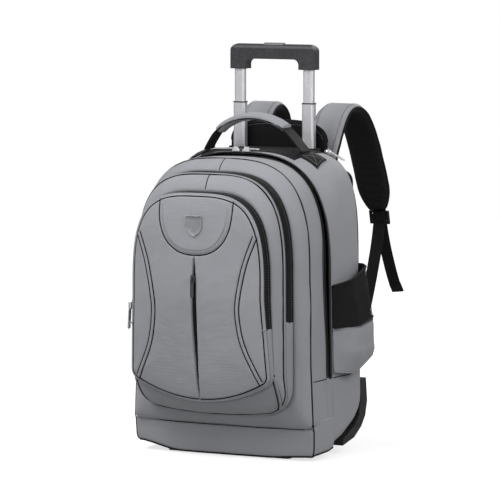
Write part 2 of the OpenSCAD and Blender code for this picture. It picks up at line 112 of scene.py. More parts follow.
def sun_light(place, strength, angle):
    data = bpy.data.lights.new("sun", "SUN")
    data.energy = strength
    data.angle = math.radians(angle)
    light = linked("sun", data)
    light.rotation_euler = (-Vector(place)).to_track_quat("-Z", "Y").to_euler()


def build_world(fill):
    """A white backdrop that lights the object with only part of its brightness."""
    world = bpy.data.worlds.new("studio")
    world.use_nodes = True
    tree = world.node_tree
    path = tree.nodes.new("ShaderNodeLightPath")
    strength = tree.nodes.new("ShaderNodeMath")
    strength.operation = "MULTIPLY_ADD"
    strength.inputs[1].default_value = 1 - fill
    strength.inputs[2].default_value = fill
    tree.links.new(path.outputs["Is Camera Ray"], strength.inputs[0])
    tree.nodes["Background"].inputs[0].default_value = (1, 1, 1, 1)
    tree.links.new(strength.outputs[0], tree.nodes["Background"].inputs[1])
    bpy.context.scene.world = world


def build_studio():
    """Soft lights round the object, the white backdrop and a floor that glows enough to stay pale."""
    sun_light((-0.42, -0.34, 1.0), 1.2, 30)
    area_light("key", (-0.35, -1.1, 1.2), (0, -0.15, 0.4), 0.8, 8.5)
    area_light("side", (1.5, -0.5, 1.15), (0, 0, 0.36), 0.9, 13)
    area_light("foot", (0.35, -1.5, 0.16), (0, -0.1, 0.1), 0.7, 3.2)
    area_light("back", (0.4, 2.9, 2.2), (0, 0, 0.35), 2.2, 30)
    build_world(0.34)
    bpy.context.scene.view_settings.view_transform = "Standard"
    corners = [(x * FLOOR_HALF, y * FLOOR_HALF, 0) for x, y in SQUARE]
    mesh = bpy.data.meshes.new("floor")
    mesh.from_pydata(corners, [], [(0, 1, 2, 3)])
    floor = linked("floor", mesh)
    floor.visible_diffuse = False
    floor.visible_glossy = False
    material = bpy.data.materials.new("floor_paper")
    material.use_nodes = True
    shader = material.node_tree.nodes["Principled BSDF"]
    shader.inputs["Base Color"].default_value = (0.45, 0.45, 0.45, 1)
    shader.inputs["Emission Color"].default_value = (1, 1, 1, 1)
    shader.inputs["Emission Strength"].default_value = 0.7
    shader.inputs["Roughness"].default_value = 0.9
    shader.inputs["Specular IOR Level"].default_value = 0.1
    mesh.materials.append(material)


build_camera()
build_studio()

# ---------------------------------------------------------------- materials


class Nodes:
    """A short way to write a material's nodes."""

    def __init__(self, name, roughness, metallic=0.0, specular=0.4, sheen=0.0):
        self.material = bpy.data.materials.new(name)
        self.material.use_nodes = True
        self.tree = self.material.node_tree
        self.shader = self.tree.nodes["Principled BSDF"]
        self.shader.inputs["Roughness"].default_value = roughness
        self.shader.inputs["Metallic"].default_value = metallic
        self.shader.inputs["Specular IOR Level"].default_value = specular
        self.shader.inputs["Sheen Weight"].default_value = sheen
        self.shader.inputs["Sheen Roughness"].default_value = 0.5
        self.coords = self.tree.nodes.new("ShaderNodeTexCoord").outputs["Object"]

    def link(self, a, b):
        self.tree.links.new(a, b)

    def feed(self, socket, value):
        """Sets a socket to a number or a colour, or links another node's output to it."""
        if isinstance(value, tuple):
            socket.default_value = (*value, 1)
        elif isinstance(value, (int, float)):
            socket.default_value = value
        else:
            self.link(value, socket)

    def noise(self, per_metre, detail=2.0, stretch=(1, 1, 1)):
        node = self.tree.nodes.new("ShaderNodeTexNoise")
        node.inputs["Scale"].default_value = per_metre
        node.inputs["Detail"].default_value = detail
        self.link(self.turned(0, stretch), node.inputs["Vector"])
        return node.outputs["Fac"]

    def turned(self, angle, stretch=(1, 1, 1)):
        node = self.tree.nodes.new("ShaderNodeMapping")
        node.inputs["Rotation"].default_value = (angle, angle * 0.6, angle)
        node.inputs["Scale"].default_value = stretch
        self.link(self.coords, node.inputs["Vector"])
        return node.outputs["Vector"]

    def bands(self, period_mm, direction, angle=0.0, distortion=0.0):
        node = self.tree.nodes.new("ShaderNodeTexWave")
        node.bands_direction = direction
        node.wave_profile = "SIN"
        node.inputs["Scale"].default_value = 1000 / period_mm / (20 / (2 * math.pi))
        node.inputs["Distortion"].default_value = distortion
        self.link(self.turned(angle), node.inputs["Vector"])
        return node.outputs["Fac"]

    def math(self, operation, a, b):
        node = self.tree.nodes.new("ShaderNodeMath")
        node.operation = operation
        for socket, value in zip(node.inputs, (a, b)):
            self.feed(socket, value)
        return node.outputs[0]

    def ramp(self, fac, low, high, start=0.3, end=0.7):
        node = self.tree.nodes.new("ShaderNodeValToRGB")
        node.color_ramp.elements[0].position = start
        node.color_ramp.elements[1].position = end
        node.color_ramp.elements[0].color = (*low, 1)
        node.color_ramp.elements[1].color = (*high, 1)
        self.link(fac, node.inputs["Fac"])
        return node.outputs["Color"]

    def mix(self, fac, a, b):
        node = self.tree.nodes.new("ShaderNodeMix")
        node.data_type = "RGBA"
        for name, value in (("Factor", fac), ("A", a), ("B", b)):
            self.feed(node.inputs[name], value)
        return node.outputs["Result"]

    def worn(self, colour, amount, light):
        """Lightens convex edges a little, as rubbing does."""
        geometry = self.tree.nodes.new("ShaderNodeNewGeometry")
        edge = self.ramp(geometry.outputs["Pointiness"], (0, 0, 0), (1, 1, 1), 0.52, 0.62)
        spots = self.ramp(self.noise(220, 3), (0, 0, 0), (1, 1, 1), 0.42, 0.62)
        fac = self.math("MULTIPLY", self.math("MULTIPLY", edge, spots), amount)
        return self.mix(fac, colour, light)

    def finish(self, colour, height, distance_mm, strength=1.0, roughness=None):
        self.link(colour, self.shader.inputs["Base Color"])
        bump = self.tree.nodes.new("ShaderNodeBump")
        bump.inputs["Distance"].default_value = distance_mm * MM
        bump.inputs["Strength"].default_value = strength
        self.link(height, bump.inputs["Height"])
        self.link(bump.outputs["Normal"], self.shader.inputs["Normal"])
        if roughness is not None:
            self.link(roughness, self.shader.inputs["Roughness"])
        return self.material


def spread(rgb, factor):
    return tuple(min(1.0, c * factor) for c in rgb)


def cloth(name, rgb, thread_mm=0.9, relief_mm=0.18, roughness=0.66, sheen=0.15, specular=0.35, vary=0.07):
    """Woven cloth: two crossing sets of threads, a slight melange and broad unevenness."""
    n = Nodes(name, roughness, specular=specular, sheen=sheen)
    warp = n.bands(thread_mm, "X", 0.0, 0.3)
    weft = n.bands(thread_mm, "Z", 0.0, 0.3)
    depth = n.bands(thread_mm, "Y", 0.0, 0.3)
    weave = n.math("MULTIPLY", n.math("ADD", warp, depth), n.math("ADD", weft, depth))
    fleck = n.noise(900, 3)
    broad = n.noise(9, 3)
    tone = n.math("ADD", n.math("MULTIPLY", fleck, 0.45), n.math("MULTIPLY", broad, 0.55))
    colour = n.ramp(tone, spread(rgb, 1 - vary), spread(rgb, 1 + vary), 0.32, 0.68)
    height = n.math("ADD", n.math("MULTIPLY", weave, 0.4), n.math("MULTIPLY", fleck, 0.6))
    rough = n.math("ADD", n.math("MULTIPLY", broad, 0.14), roughness - 0.07)
    return n.finish(colour, height, relief_mm, 0.6, rough)


def webbing_stuff(name, rgb):
    """Ribbed webbing: strong cross ribs with a herringbone of finer threads."""
    n = Nodes(name, 0.6, specular=0.14, sheen=0.03)
    ribs = n.bands(2.1, "DIAGONAL", 0.0, 0.4)
    fine = n.bands(0.9, "X", 0.5, 0.2)
    fuzz = n.noise(700, 3)
    colour = n.ramp(n.math("ADD", n.math("MULTIPLY", ribs, 0.5), n.math("MULTIPLY", fuzz, 0.5)),
                    spread(rgb, 0.7), spread(rgb, 1.45), 0.25, 0.8)
    height = n.math("ADD", n.math("MULTIPLY", ribs, 0.7), n.math("MULTIPLY", fine, 0.3))
    return n.finish(colour, height, 0.35, 0.8, n.math("ADD", n.math("MULTIPLY", fuzz, 0.2), 0.5))


def spacer_mesh(name, rgb):
    """Knitted spacer mesh: a field of small round cells."""
    n = Nodes(name, 0.8, specular=0.12, sheen=0.06)
    cells = n.tree.nodes.new("ShaderNodeTexVoronoi")
    cells.inputs["Scale"].default_value = 330
    cells.inputs["Randomness"].default_value = 0.25
    n.link(n.coords, cells.inputs["Vector"])
    broad = n.noise(14, 3)
    colour = n.ramp(cells.outputs["Distance"], spread(rgb, 0.45), spread(rgb, 1.5), 0.15, 0.6)
    colour = n.mix(0.35, colour, n.ramp(broad, spread(rgb, 0.8), spread(rgb, 1.2)))
    return n.finish(colour, cells.outputs["Distance"], 0.7, 0.9)


def moulded(name, rgb, roughness=0.5, grain_mm=0.12, wear=0.35):
    """Moulded plastic with a fine spark-eroded grain, scuffed at its edges."""
    n = Nodes(name, roughness, specular=0.32)
    grain = n.noise(1500, 2)
    cloud = n.noise(20, 3)
    colour = n.ramp(cloud, spread(rgb, 0.88), spread(rgb, 1.14))
    colour = n.worn(colour, wear, spread(rgb, 3.2))
    rough = n.math("ADD", n.math("MULTIPLY", cloud, 0.16), roughness - 0.08)
    return n.finish(colour, grain, grain_mm, 0.55, rough)


def rubber(name, rgb):
    n = Nodes(name, 0.75, specular=0.2)
    grain = n.noise(1100, 2)
    dust = n.ramp(n.noise(60, 4), spread(rgb, 0.9), spread(rgb, 2.0), 0.45, 0.75)
    colour = n.worn(dust, 0.5, (0.16, 0.155, 0.15))
    return n.finish(colour, grain, 0.15, 0.6)


def metal(name, rgb, roughness, lines_per_metre=1400, along="Z", wear=0.25, metallic=1.0):
    """Metal with fine drawing lines along its length, and light scratches."""
    n = Nodes(name, roughness, metallic=metallic, specular=0.5)
    squeeze = {"Z": (1, 1, 0.02), "X": (0.02, 1, 1), "": (1, 1, 1)}[along]
    lines = n.noise(lines_per_metre, 2, squeeze)
    cloud = n.noise(25, 3)
    colour = n.ramp(n.math("ADD", n.math("MULTIPLY", lines, 0.5), n.math("MULTIPLY", cloud, 0.5)),
                    spread(rgb, 0.9), spread(rgb, 1.08))
    colour = n.worn(colour, wear, spread(rgb, 1.2))
    rough = n.math("ADD", n.math("MULTIPLY", lines, 0.16), roughness - 0.06)
    return n.finish(colour, lines, 0.03, 0.4, rough)


GREY = (0.282, 0.286, 0.307)
STUFF = {
    "grey_fabric": cloth("grey_cloth", GREY, specular=0.3),
    "black_fabric": cloth("black_cloth", (0.0085, 0.0085, 0.009), roughness=0.68, sheen=0.04, specular=0.12,
                          vary=0.2),
    "black_foam": spacer_mesh("spacer_mesh", (0.011, 0.011, 0.0115)),
    "lining": cloth("lining_cloth", (0.05, 0.05, 0.054), 0.6, 0.1, 0.55, 0.05, vary=0.12),
    "mesh": cloth("net_thread", (0.04, 0.04, 0.043), 0.5, 0.1, 0.6, 0.0, 0.12, vary=0.2),
    "webbing": webbing_stuff("black_webbing", (0.0095, 0.0095, 0.01)),
    "zip_tape": webbing_stuff("zip_tape", (0.0065, 0.0065, 0.007)),
    "board": moulded("board_sheet", (0.05, 0.05, 0.052), 0.6, 0.2, 0.2),
    "black_plastic": moulded("black_moulding", (0.012, 0.012, 0.0125), 0.48),
    "bush_plastic": moulded("bush_moulding", (0.5, 0.5, 0.48), 0.4, 0.05, 0.1),
    "grip_plastic": moulded("grip_moulding", (0.03, 0.0305, 0.034), 0.4, 0.06, 0.2),
    "button_plastic": moulded("button_moulding", (0.17, 0.17, 0.18), 0.36, 0.06, 0.3),
    "hub_plastic": moulded("hub_moulding", (0.04, 0.04, 0.043), 0.45, 0.1, 0.4),
    "wheel_rubber": rubber("wheel_rubber", (0.014, 0.014, 0.014)),
    "tube_metal": metal("drawn_aluminium", (0.74, 0.74, 0.77), 0.34, metallic=0.8),
    "steel": metal("steel", (0.55, 0.55, 0.56), 0.28, along="X"),
    "zip_metal": metal("plated_zinc", (0.9, 0.9, 0.91), 0.3, 500, "", 0.5, metallic=0.8),
    "badge_metal": moulded("badge_enamel", (0.25, 0.252, 0.266), 0.36, 0.04, 0.4),
}
# SEAM is near-black thread that also paints the shade in seam grooves, beside pipings, in pad channels and
# along folds.
SEAM = cloth("seam_thread_and_painted_shade", (0.005, 0.005, 0.006), 0.7, 0.1, 0.7, 0.0, 0.08)
GREY_THREAD = cloth("grey_thread", (0.17, 0.17, 0.185), 0.5, 0.1, 0.5, 0.1)
SMOKED = metal("smoked_zinc", (0.16, 0.16, 0.17), 0.3, 500, "", 0.5)
COIL = moulded("zip_coil", (0.009, 0.009, 0.0095), 0.4, 0.03, 0.1)

# ---------------------------------------------------------------- mesh helpers


def grid_faces(rows, columns, wrap=False):
    step = columns if wrap else columns - 1
    return [(r * columns + c, r * columns + (c + 1) % columns,
             (r + 1) * columns + (c + 1) % columns, (r + 1) * columns + c)
            for r in range(rows - 1) for c in range(step)]


def face_out(mesh):
    """Turns a closed mesh's faces outwards."""
    work = bmesh.new()
    work.from_mesh(mesh)
    bmesh.ops.recalc_face_normals(work, faces=work.faces)
    work.to_mesh(mesh)
    work.free()


def piece(name, points, faces, slot, body=None, material=None, smooth=True, stands_for=(), solid=True):
    """A mesh piece from case millimetres. It rides on body."""
    mesh = bpy.data.meshes.new(name)
    mesh.from_pydata([tuple(p) for p in row(points)], [], [tuple(int(i) for i in f) for f in faces])
    mesh.validate()
    if solid:
        face_out(mesh)
    mesh.materials.append(material or STUFF[slot])
    obj = linked(name, mesh)
    if smooth:
        mesh.shade_smooth()
    if body:
        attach(obj, body)
    if stands_for:
        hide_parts(*stands_for)
    return obj


def sheet_of(name, rows, slot, body=None, thick=0.0, wrap=False, centre=CENTRE, **more):
    """A cloth through rows of points. It faces away from centre, and thickens towards it.

    centre is one point, or one for each row. more is passed on to piece().
    """
    rows = np.array(rows, float)
    count, columns = rows.shape[:2]
    faces = grid_faces(count, columns, wrap)
    points = rows.reshape(-1, 3)
    middles = np.repeat(np.broadcast_to(centre, (count, 3)), columns, axis=0)
    corners = np.array(faces)
    a, b, c, d = (points[corners[:, k]] for k in range(4))
    if np.sum(np.cross(c - a, d - b) * (a - middles[corners[:, 0]])) < 0:
        faces = [face[::-1] for face in faces]
    obj = piece(name, points, faces, slot, body, solid=False, **more)
    if thick:
        modifier = obj.modifiers.new("thick", "SOLIDIFY")
        modifier.thickness = thick * MM
        modifier.offset = -1
        modifier.use_even_offset = False
    return obj


def bevel(obj, width, segments):
    modifier = obj.modifiers.new("bevel", "BEVEL")
    modifier.width = width * MM
    modifier.segments = segments
    modifier.limit_method = "ANGLE"
    modifier.angle_limit = math.radians(35)


def lengths(points, closed=False):
    ends = np.roll(points, -1, 0) if closed else points[1:]
    starts = points if closed else points[:-1]
    return np.concatenate([[0], np.cumsum(np.linalg.norm(ends - starts, axis=1))])


def resample(points, count, closed=False):
    points = np.array(points, float)
    run = lengths(points, closed)
    if closed:
        points = np.vstack([points, points[:1]])
    where = np.linspace(0, run[-1], count + 1)[:-1] if closed else np.linspace(0, run[-1], count)
    return np.stack([np.interp(where, run, points[:, k]) for k in range(points.shape[1])], 1)


def smooth_line(control, count):
    """Evenly spaced points on a Catmull-Rom line through the control points."""
    c = np.array(control, float)
    c = np.vstack([2 * c[0] - c[1], c, 2 * c[-1] - c[-2]])
    out = []
    for i in range(1, len(c) - 2):
        for t in np.linspace(0, 1, 24, endpoint=False):
            a, b, d, e = c[i - 1], c[i], c[i + 1], c[i + 2]
            out.append(0.5 * (2 * b + (d - a) * t + (2 * a - 5 * b + 4 * d - e) * t ** 2
                              + (3 * b - a - 3 * d + e) * t ** 3))
    out.append(c[-2])
    return resample(out, count)


def step(value, low, high):
    t = np.clip((np.asarray(value, float) - low) / (high - low), 0, 1)
    return t * t * (3 - 2 * t)


def unit(v):
    v = np.asarray(v, float)
    return v / np.maximum(np.linalg.norm(v, axis=-1, keepdims=True), 1e-9)


def tangents(points, closed=False):
    if closed:
        return unit(np.roll(points, -1, 0) - np.roll(points, 1, 0))
    return unit(np.gradient(points, axis=0))


def tube_mesh(points, radius, sides=8, closed=False):
    """Vertices and faces of a round cord along points. Its ends are closed."""
    points = np.array(points, float)
    t = tangents(points, closed)
    helper = np.array([0.13, 1.0, 0.21])
    s = unit(np.cross(t, helper))
    m = np.cross(t, s)
    angle = np.linspace(0, 2 * math.pi, sides, endpoint=False)
    rings = (points[:, None] + radius *
             (np.cos(angle)[None, :, None] * s[:, None] + np.sin(angle)[None, :, None] * m[:, None]))
    verts = rings.reshape(-1, 3)
    faces = grid_faces(len(points), sides, True)
    if closed:
        last = (len(points) - 1) * sides
        faces += [(last + k, last + (k + 1) % sides, (k + 1) % sides, k) for k in range(sides)]
    else:
        faces += [tuple(range(sides))[::-1], tuple((len(points) - 1) * sides + k for k in range(sides))]
    return verts, faces


def join(parts):
    """One list of vertices and faces from several."""
    verts, faces, start = [], [], 0
    for v, f in parts:
        verts.append(np.asarray(v, float))
        faces += [tuple(i + start for i in face) for face in f]
        start += len(v)
    return np.vstack(verts), faces


def cord_piece(name, lines, radius, slot, body, closed=False, material=None, sides=8):
    """Piping or binding along lines."""
    tubes = [tube_mesh(line, radius, sides, closed) for line in lines]
    piece(name, *join(tubes), slot, body, material=material)


def seam_piece(name, lines, radius, body, slot="grey_fabric"):
    """Dark lines along seams: sewn thread, with painted shade of the seam's groove."""
    cord_piece(name, lines, radius, slot, body, material=SEAM, sides=6)


def block_mesh(centre, along, across, up, sizes):
    """A small block such as a stitch or a zip tooth: eight corners, narrower on top."""
    a, b, c = (np.asarray(v, float) * s / 2 for v, s in zip((along, across, up), sizes))
    verts = [centre + x * a * k + y * b * k + z * c for z, k in ((-1, 1), (1, BLOCK_TOP)) for x, y in SQUARE]
    faces = [(3, 2, 1, 0), (4, 5, 6, 7), (0, 1, 5, 4), (1, 2, 6, 5), (2, 3, 7, 6), (3, 0, 4, 7)]
    return verts, faces


def stitch_parts(line, outward, long=3.0, gap=1.4, thick=0.7, lift=0.15):
    """Stitches along a line. outward is the surface's direction at each point, or one for all."""
    line = np.array(line, float)
    count = max(2, int(lengths(line)[-1] / (long + gap)))
    dense = resample(line, count * 2 + 1)
    outward = np.broadcast_to(np.asarray(outward, float), line.shape)
    normals = unit(resample_like(line, outward, dense))
    parts = []
    for i in range(count):
        a, b = dense[2 * i], dense[2 * i + 1]
        way = unit(b - a)
        up = unit(normals[2 * i] - way * np.dot(normals[2 * i], way))
        centre = (a + b) / 2 + up * lift
        parts.append(block_mesh(centre, way, np.cross(up, way), up, (long, thick, thick)))
    return parts


def resample_like(line, values, dense):
    """Values given at the points of a line, taken at other points on it."""
    run = lengths(line)
    where = np.linspace(0, run[-1], len(dense))
    return np.stack([np.interp(where, run, values[:, k]) for k in range(3)], 1)


def stitches(name, lines, body, slot="grey_fabric", **more):
    """lines is a list of (points, outward)."""
    parts = [part for line, outward in lines for part in stitch_parts(line, outward, **more)]
    piece(name, *join(parts), slot, body, material=GREY_THREAD, smooth=False)


def ripple(points, amount, size, seed=0.0):
    """Soft unevenness for cloth, in millimetres, one value for each point."""
    flat = np.asarray(points, float).reshape(-1, 3)
    values = [noise.noise(Vector((p[0] / size + seed, p[1] / size, p[2] / size))) for p in flat]
    return amount * np.array(values).reshape(np.asarray(points).shape[:-1])


# ---------------------------------------------------------------- arches

# Half width at the shoulder, half width low down, shoulder height, top height, power of the
# arch, height of the low edge, radius of its corners, and how far the low edge sags.
CASE = np.array([162, 167, 300, 495, 2.8, 8, 22, 0], float)
REAR = np.array([162, 167, 280, 496, 4.4, 8, 22, 0], float)
FRONT = np.array([156, 166.5, 295, 489, 3.0, 52, 10, 0], float)
MIDDLE = np.array([136, 137, 280, 467, 3.3, 84, 36, 12], float)
POCKET = np.array([120, 127, 270, 437, 3.3, 133, 12, 35], float)
BACK = np.array([150, 150, 280, 494.5, 4.0, 122, 12, 0], float)
Y_POUCH, Y_POUCH_ZIP, Y_POUCH_END = -202, -194.5, -180
Y_MIDDLE, Y_MIDDLE_ZIP, Y_MIDDLE_END = -158, -144, -132
Y_FRONT, Y_ZIP, Y_TEETH, Y_REAR = -105, -60, -51, -42
SEAM_Z, POUCH_ZIP_Z, MIDDLE_ZIP_Z, BACK_ZIP_Z, CREASE_Z = 130, 222, 229, 300, 58


FOOT_POINTS, CORNER_POINTS, SIDE_POINTS, ARC_POINTS = 26, 15, 30, 70


def half_outline(arch, grow=0.0):
    """Right half of an arch from the middle of its foot to its top, as (x, z)."""
    half, low, z_sh, z_top, power, z_low, r_low, sag = arch
    half, low, z_top, z_low = half + grow, low + grow, z_top + grow, z_low - grow
    r_low = max(r_low + grow, 1)
    x = np.linspace(0, low - r_low, FOOT_POINTS)
    foot = np.stack([x, z_low - sag * (1 - (x / low) ** 2)], 1)
    a = np.radians(np.linspace(-90, 0, CORNER_POINTS + 1)[1:])
    x = low - r_low + r_low * np.cos(a)
    corner = np.stack([x, z_low - sag * (1 - (x / low) ** 2) + r_low + r_low * np.sin(a)], 1)
    a = np.radians(90 * np.linspace(0, 1, ARC_POINTS))
    arc = np.stack([half * np.cos(a).clip(0) ** (2 / power),
                    z_sh + (z_top - z_sh) * np.sin(a) ** (2 / power)], 1)
    return np.vstack([foot, corner, arc])


def outline(arch, grow=0.0, count=260):
    right = half_outline(arch, grow)
    left = right[-2:0:-1] * [-1, 1]
    return resample(np.vstack([right, left]), count, closed=True)


def cut_half(arch, z, grow):
    """Index and point where the right half of an arch passes height z on its side."""
    right = half_outline(arch, grow)
    i = next(k for k in range(FOOT_POINTS, len(right)) if right[k, 1] >= z)
    a, b = right[i - 1], right[i]
    return right, i, a + (b - a) * (z - a[1]) / max(b[1] - a[1], 1e-6)


def above(arch, z, grow=0.0, count=200):
    """The arch from its left side at height z, over the top, to its right side at z."""
    right, i, start = cut_half(arch, z, grow)
    half = np.vstack([start[None], right[i:]])
    return resample(np.vstack([half * [-1, 1], half[-2::-1]]), count)


def below(arch, z, grow=0.0, count=160):
    """The arch from its left side at height z, round its foot, to its right side at z."""
    right, i, end = cut_half(arch, z, grow)
    half = np.vstack([right[:i], end[None]])
    return resample(np.vstack([half[::-1] * [-1, 1], half[1:]]), count)


def at_y(line, y):
    """A line or grid of (x, z) points as 3-D points at depth y, which may vary over it."""
    return np.stack([line[..., 0], np.broadcast_to(y, line.shape[:-1]), line[..., 1]], -1)


def ring_normals(line, closed=False):
    """Outward directions of an arch line in its plane, as 3-D vectors."""
    t = tangents(line, closed)
    out = np.stack([t[:, 1], np.zeros(len(line)), -t[:, 0]], 1)
    sign = np.sign(np.sum(out * (at_y(line, 0) - AXIS), axis=1))
    return out * sign[:, None]


def coons(arch, grow, columns, rows_):
    """A grid of (x, z) points that fills an arch, evenly spaced and denser in the middle."""
    right = half_outline(arch, grow)
    n_foot = FOOT_POINTS + CORNER_POINTS // 2
    n_side = FOOT_POINTS + CORNER_POINTS + SIDE_POINTS
    foot = np.vstack([right[n_foot::-1] * [-1, 1], right[1:n_foot + 1]])
    side = right[n_foot:n_side + 1]
    top = np.vstack([right[n_side:] * [-1, 1], right[-2:n_side - 1:-1]])
    s = np.linspace(-1, 1, columns)
    u = 0.5 + 0.5 * (0.62 * s + 0.38 * s ** 3)

    def spaced(line, where):
        run = lengths(line)
        run = run / run[-1]
        return np.stack([np.interp(where, run, line[:, k]) for k in range(2)], 1)

    v = np.linspace(0, 1, rows_)
    foot, top, right = spaced(foot, u), spaced(top, u), spaced(side, v)
    left = right * [-1, 1]
    u, v = u[None, :, None], v[:, None, None]
    return ((1 - v) * foot[None] + v * top[None] + (1 - u) * left[:, None] + u * right[:, None]
            - (1 - u) * (1 - v) * foot[0] - u * (1 - v) * foot[-1] - (1 - u) * v * top[0] - u * v * top[-1])


def distance_to(points, line, closed=False):
    """Distance of each (x, z) point from a line."""
    flat = points.reshape(-1, 2)
    a = line if closed else line[:-1]
    b = np.roll(line, -1, 0) if closed else line[1:]
    best = np.full(len(flat), 1e9)
    for p, q in zip(a, b):
        d = q - p
        t = np.clip(((flat - p) @ d) / max(d @ d, 1e-9), 0, 1)
        best = np.minimum(best, np.hypot(*(flat - p - t[:, None] * d).T))
    return best.reshape(points.shape[:-1])


# ---------------------------------------------------------------- front pouch

PIPE = 1.9
TOOTH_SIDE = 1.25
EDGE_SEAM = -4.2
REAR_SEAM = 3.8
SEAM_R = 1.15
LEAN_FROM = 270


def no_lean(line):
    return 0 * line[..., 1]


def pouch_lean(line):
    """The pouch's front leans back towards its foot. A lean takes (x, z) points and gives depths."""
    return 9 * np.clip((LEAN_FROM - line[..., 1]) / 127, 0, 1.4) ** 1.2


def middle_lean(line):
    """The middle section's piping leans back at its foot."""
    return 15 * step(150 - line[..., 1], 0, 78)


def middle_rear_lean(line):
    return -2 * step(150 - line[..., 1], 0, 78)


def front_lean(line):
    """The front section's front edge comes forward lower down, more so in the middle of its foot."""
    x, z = line[..., 0], line[..., 1]
    return -8 * step(270 - z, 0, 120) - 5 * step(120 - z, 0, 60) * (1 - (x / 165) ** 2)


def zip_lean(line):
    """The main zip narrows over the top of the case."""
    return 4 * step(line[..., 1], 300, 430)


def zip_rear_lean(line):
    return -4 * step(line[..., 1], 300, 430)


def at_edge(line, y, lean):
    return at_y(line, y + lean(line))


YOKE_TOP, YOKE_Z, YOKE_LOW, YOKE_HALF, YOKE_POWER = 436, 418, 338, 67, 2.4
SIDE_SEAMS = (0, -7)


def yoke_line():
    a = np.radians(np.linspace(-180, 0, 60))
    x = YOKE_HALF * np.sign(np.cos(a)) * np.abs(np.cos(a)) ** (2 / YOKE_POWER)
    z = YOKE_Z - (YOKE_Z - YOKE_LOW) * np.abs(np.sin(a)) ** (2 / YOKE_POWER)
    return np.vstack([[-YOKE_HALF - 1, YOKE_TOP], np.stack([x, z], 1), [YOKE_HALF + 1, YOKE_TOP]])


def side_curve(offset):
    """Right curved seam of the pouch's face, offset towards the edge."""
    line = smooth_line([[110, 370], [94, 326], [83, 276], [81, 240], [90, 192], [117, 134]], 60)
    t = tangents(line)
    return line + np.stack([-t[:, 1], t[:, 0]], 1) * offset


SLIT_LOW, SLIT_TOP = 108, 333


def slit_half_width(z):
    s = np.clip((z - SLIT_LOW) / (SLIT_TOP - SLIT_LOW), 0, 1)
    return 3.6 * np.sin(math.pi * s ** 1.35) ** 0.8 + 0.15


def inside(line, grow):
    """The points of a line that lie within the pouch's outline."""
    a = outline(POCKET, grow, 200)
    b = np.roll(a, -1, 0)
    x, z = line[:, 0, None], line[:, 1, None]
    spans = (a[:, 1] > z) != (b[:, 1] > z)
    rise = np.where(a[:, 1] == b[:, 1], 1, b[:, 1] - a[:, 1])
    crossing = a[:, 0] + (z - a[:, 1]) * (b[:, 0] - a[:, 0]) / rise
    return line[(spans & (x < crossing)).sum(1) % 2 == 1]


def inside_yoke(grid):
    x, z = np.abs(grid[..., 0]), grid[..., 1]
    depth = np.clip((YOKE_Z - z) / (YOKE_Z - YOKE_LOW), 0, 1)
    return x < YOKE_HALF * np.clip(1 - depth ** YOKE_POWER, 0, 1) ** (1 / YOKE_POWER)


def pouch_face_y(grid):
    """Depth of the pouch's front face at (x, z): its bulge, seams, yoke and centre slit."""
    x, z = grid[..., 0], grid[..., 1]
    edge = distance_to(grid, outline(POCKET, 0, 220), True)
    y = Y_POUCH + pouch_lean(grid) - 8.5 * (1 - np.exp(-edge / 30)) - 2.2 * step(edge, 0, 5)
    y -= 2.0 * np.exp(-((z - 260) / 90) ** 2) * step(edge, 0, 60)
    y += 1.7 * np.exp(-((edge + EDGE_SEAM) / 1.1) ** 2)
    yoke = yoke_line()
    near = distance_to(grid, yoke)
    within = inside_yoke(grid)
    y -= np.where(within, 2.4 * step(near, 0, 9), 0)
    y += 1.6 * np.exp(-(near / 1.3) ** 2)
    y += np.where(within, 0.8 * np.exp(-((near - 7) / 1.1) ** 2), 0)
    for sign in (-1, 1):
        for offset, deep in zip(SIDE_SEAMS, (1.5, 1.4)):
            line = side_curve(offset) * [sign, 1]
            y += deep * np.exp(-(distance_to(grid, line) / 1.3) ** 2)
        mid = side_curve(sum(SIDE_SEAMS) / 2) * [sign, 1]
        y -= 1.3 * np.exp(-(distance_to(grid, mid) / 2.2) ** 2)
    wide = slit_half_width(z)
    in_slit = (z > SLIT_LOW - 3) & (z < SLIT_TOP + 3)
    y += np.where(in_slit, 5.5 * step(wide + 1.4 - np.abs(x), 0, 1.6), 0)
    y -= np.where(in_slit, 1.1 * np.exp(-((np.abs(x) - wide - 3.2) / 2.2) ** 2), 0)
    points = at_y(grid, y)
    return y + ripple(points, 0.9, 46) + ripple(points, 0.35, 15, 3.0)


def on_face(line, lift=0.0):
    """(x, z) points as 3-D points on the pouch's face, lift in front of it."""
    line = np.array(line, float)
    return at_y(line, pouch_face_y(line) - lift)


def build_pouch():
    """The pouch's face with its piping, seams and stitches, and its side of the zip."""
    body = "front_pouch"
    grid = coons(POCKET, -0.6, 190, 220)
    face = sheet_of("pouch_face", at_y(grid, pouch_face_y(grid)), "grey_fabric", body, 2.2,
                    stands_for=["front_pocket"])
    edge = at_edge(outline(POCKET, -0.9), Y_POUCH + 1.0, pouch_lean)
    cord_piece("pouch_piping", [edge], PIPE, "grey_fabric", body, closed=True)
    # dark lines: seam thread with painted shade in the grooves beside the piping, yoke and side curves
    dark = [on_face(inside(resample(yoke_line(), 160), EDGE_SEAM), 0.4),
            on_face(outline(POCKET, EDGE_SEAM, 300), 0.2)]
    for sign in (-1, 1):
        for offset in SIDE_SEAMS:
            dark.append(on_face(inside(side_curve(offset) * [sign, 1], EDGE_SEAM), 0.4))
    foot = below(POCKET, POUCH_ZIP_Z + 2, -0.9, 200)
    dark.append(at_edge(foot, Y_POUCH + REAR_SEAM, pouch_lean))
    seam_piece("pouch_seams", dark, SEAM_R, body)
    inner_yoke = yoke_line() * [0.9, 1] + [0, 6.5]
    stitches("pouch_stitches", [(on_face(resample(inner_yoke[2:-2], 90)), (0, -1, 0))], body)
    half_zip("pouch", "", POCKET, POUCH_ZIP_Z, front_tape(Y_POUCH, Y_POUCH_ZIP),
             (Y_POUCH_ZIP - TOOTH_SIDE, 0.1), (Y_POUCH + 5.2, -0.2), body, ["pocket_zips"])


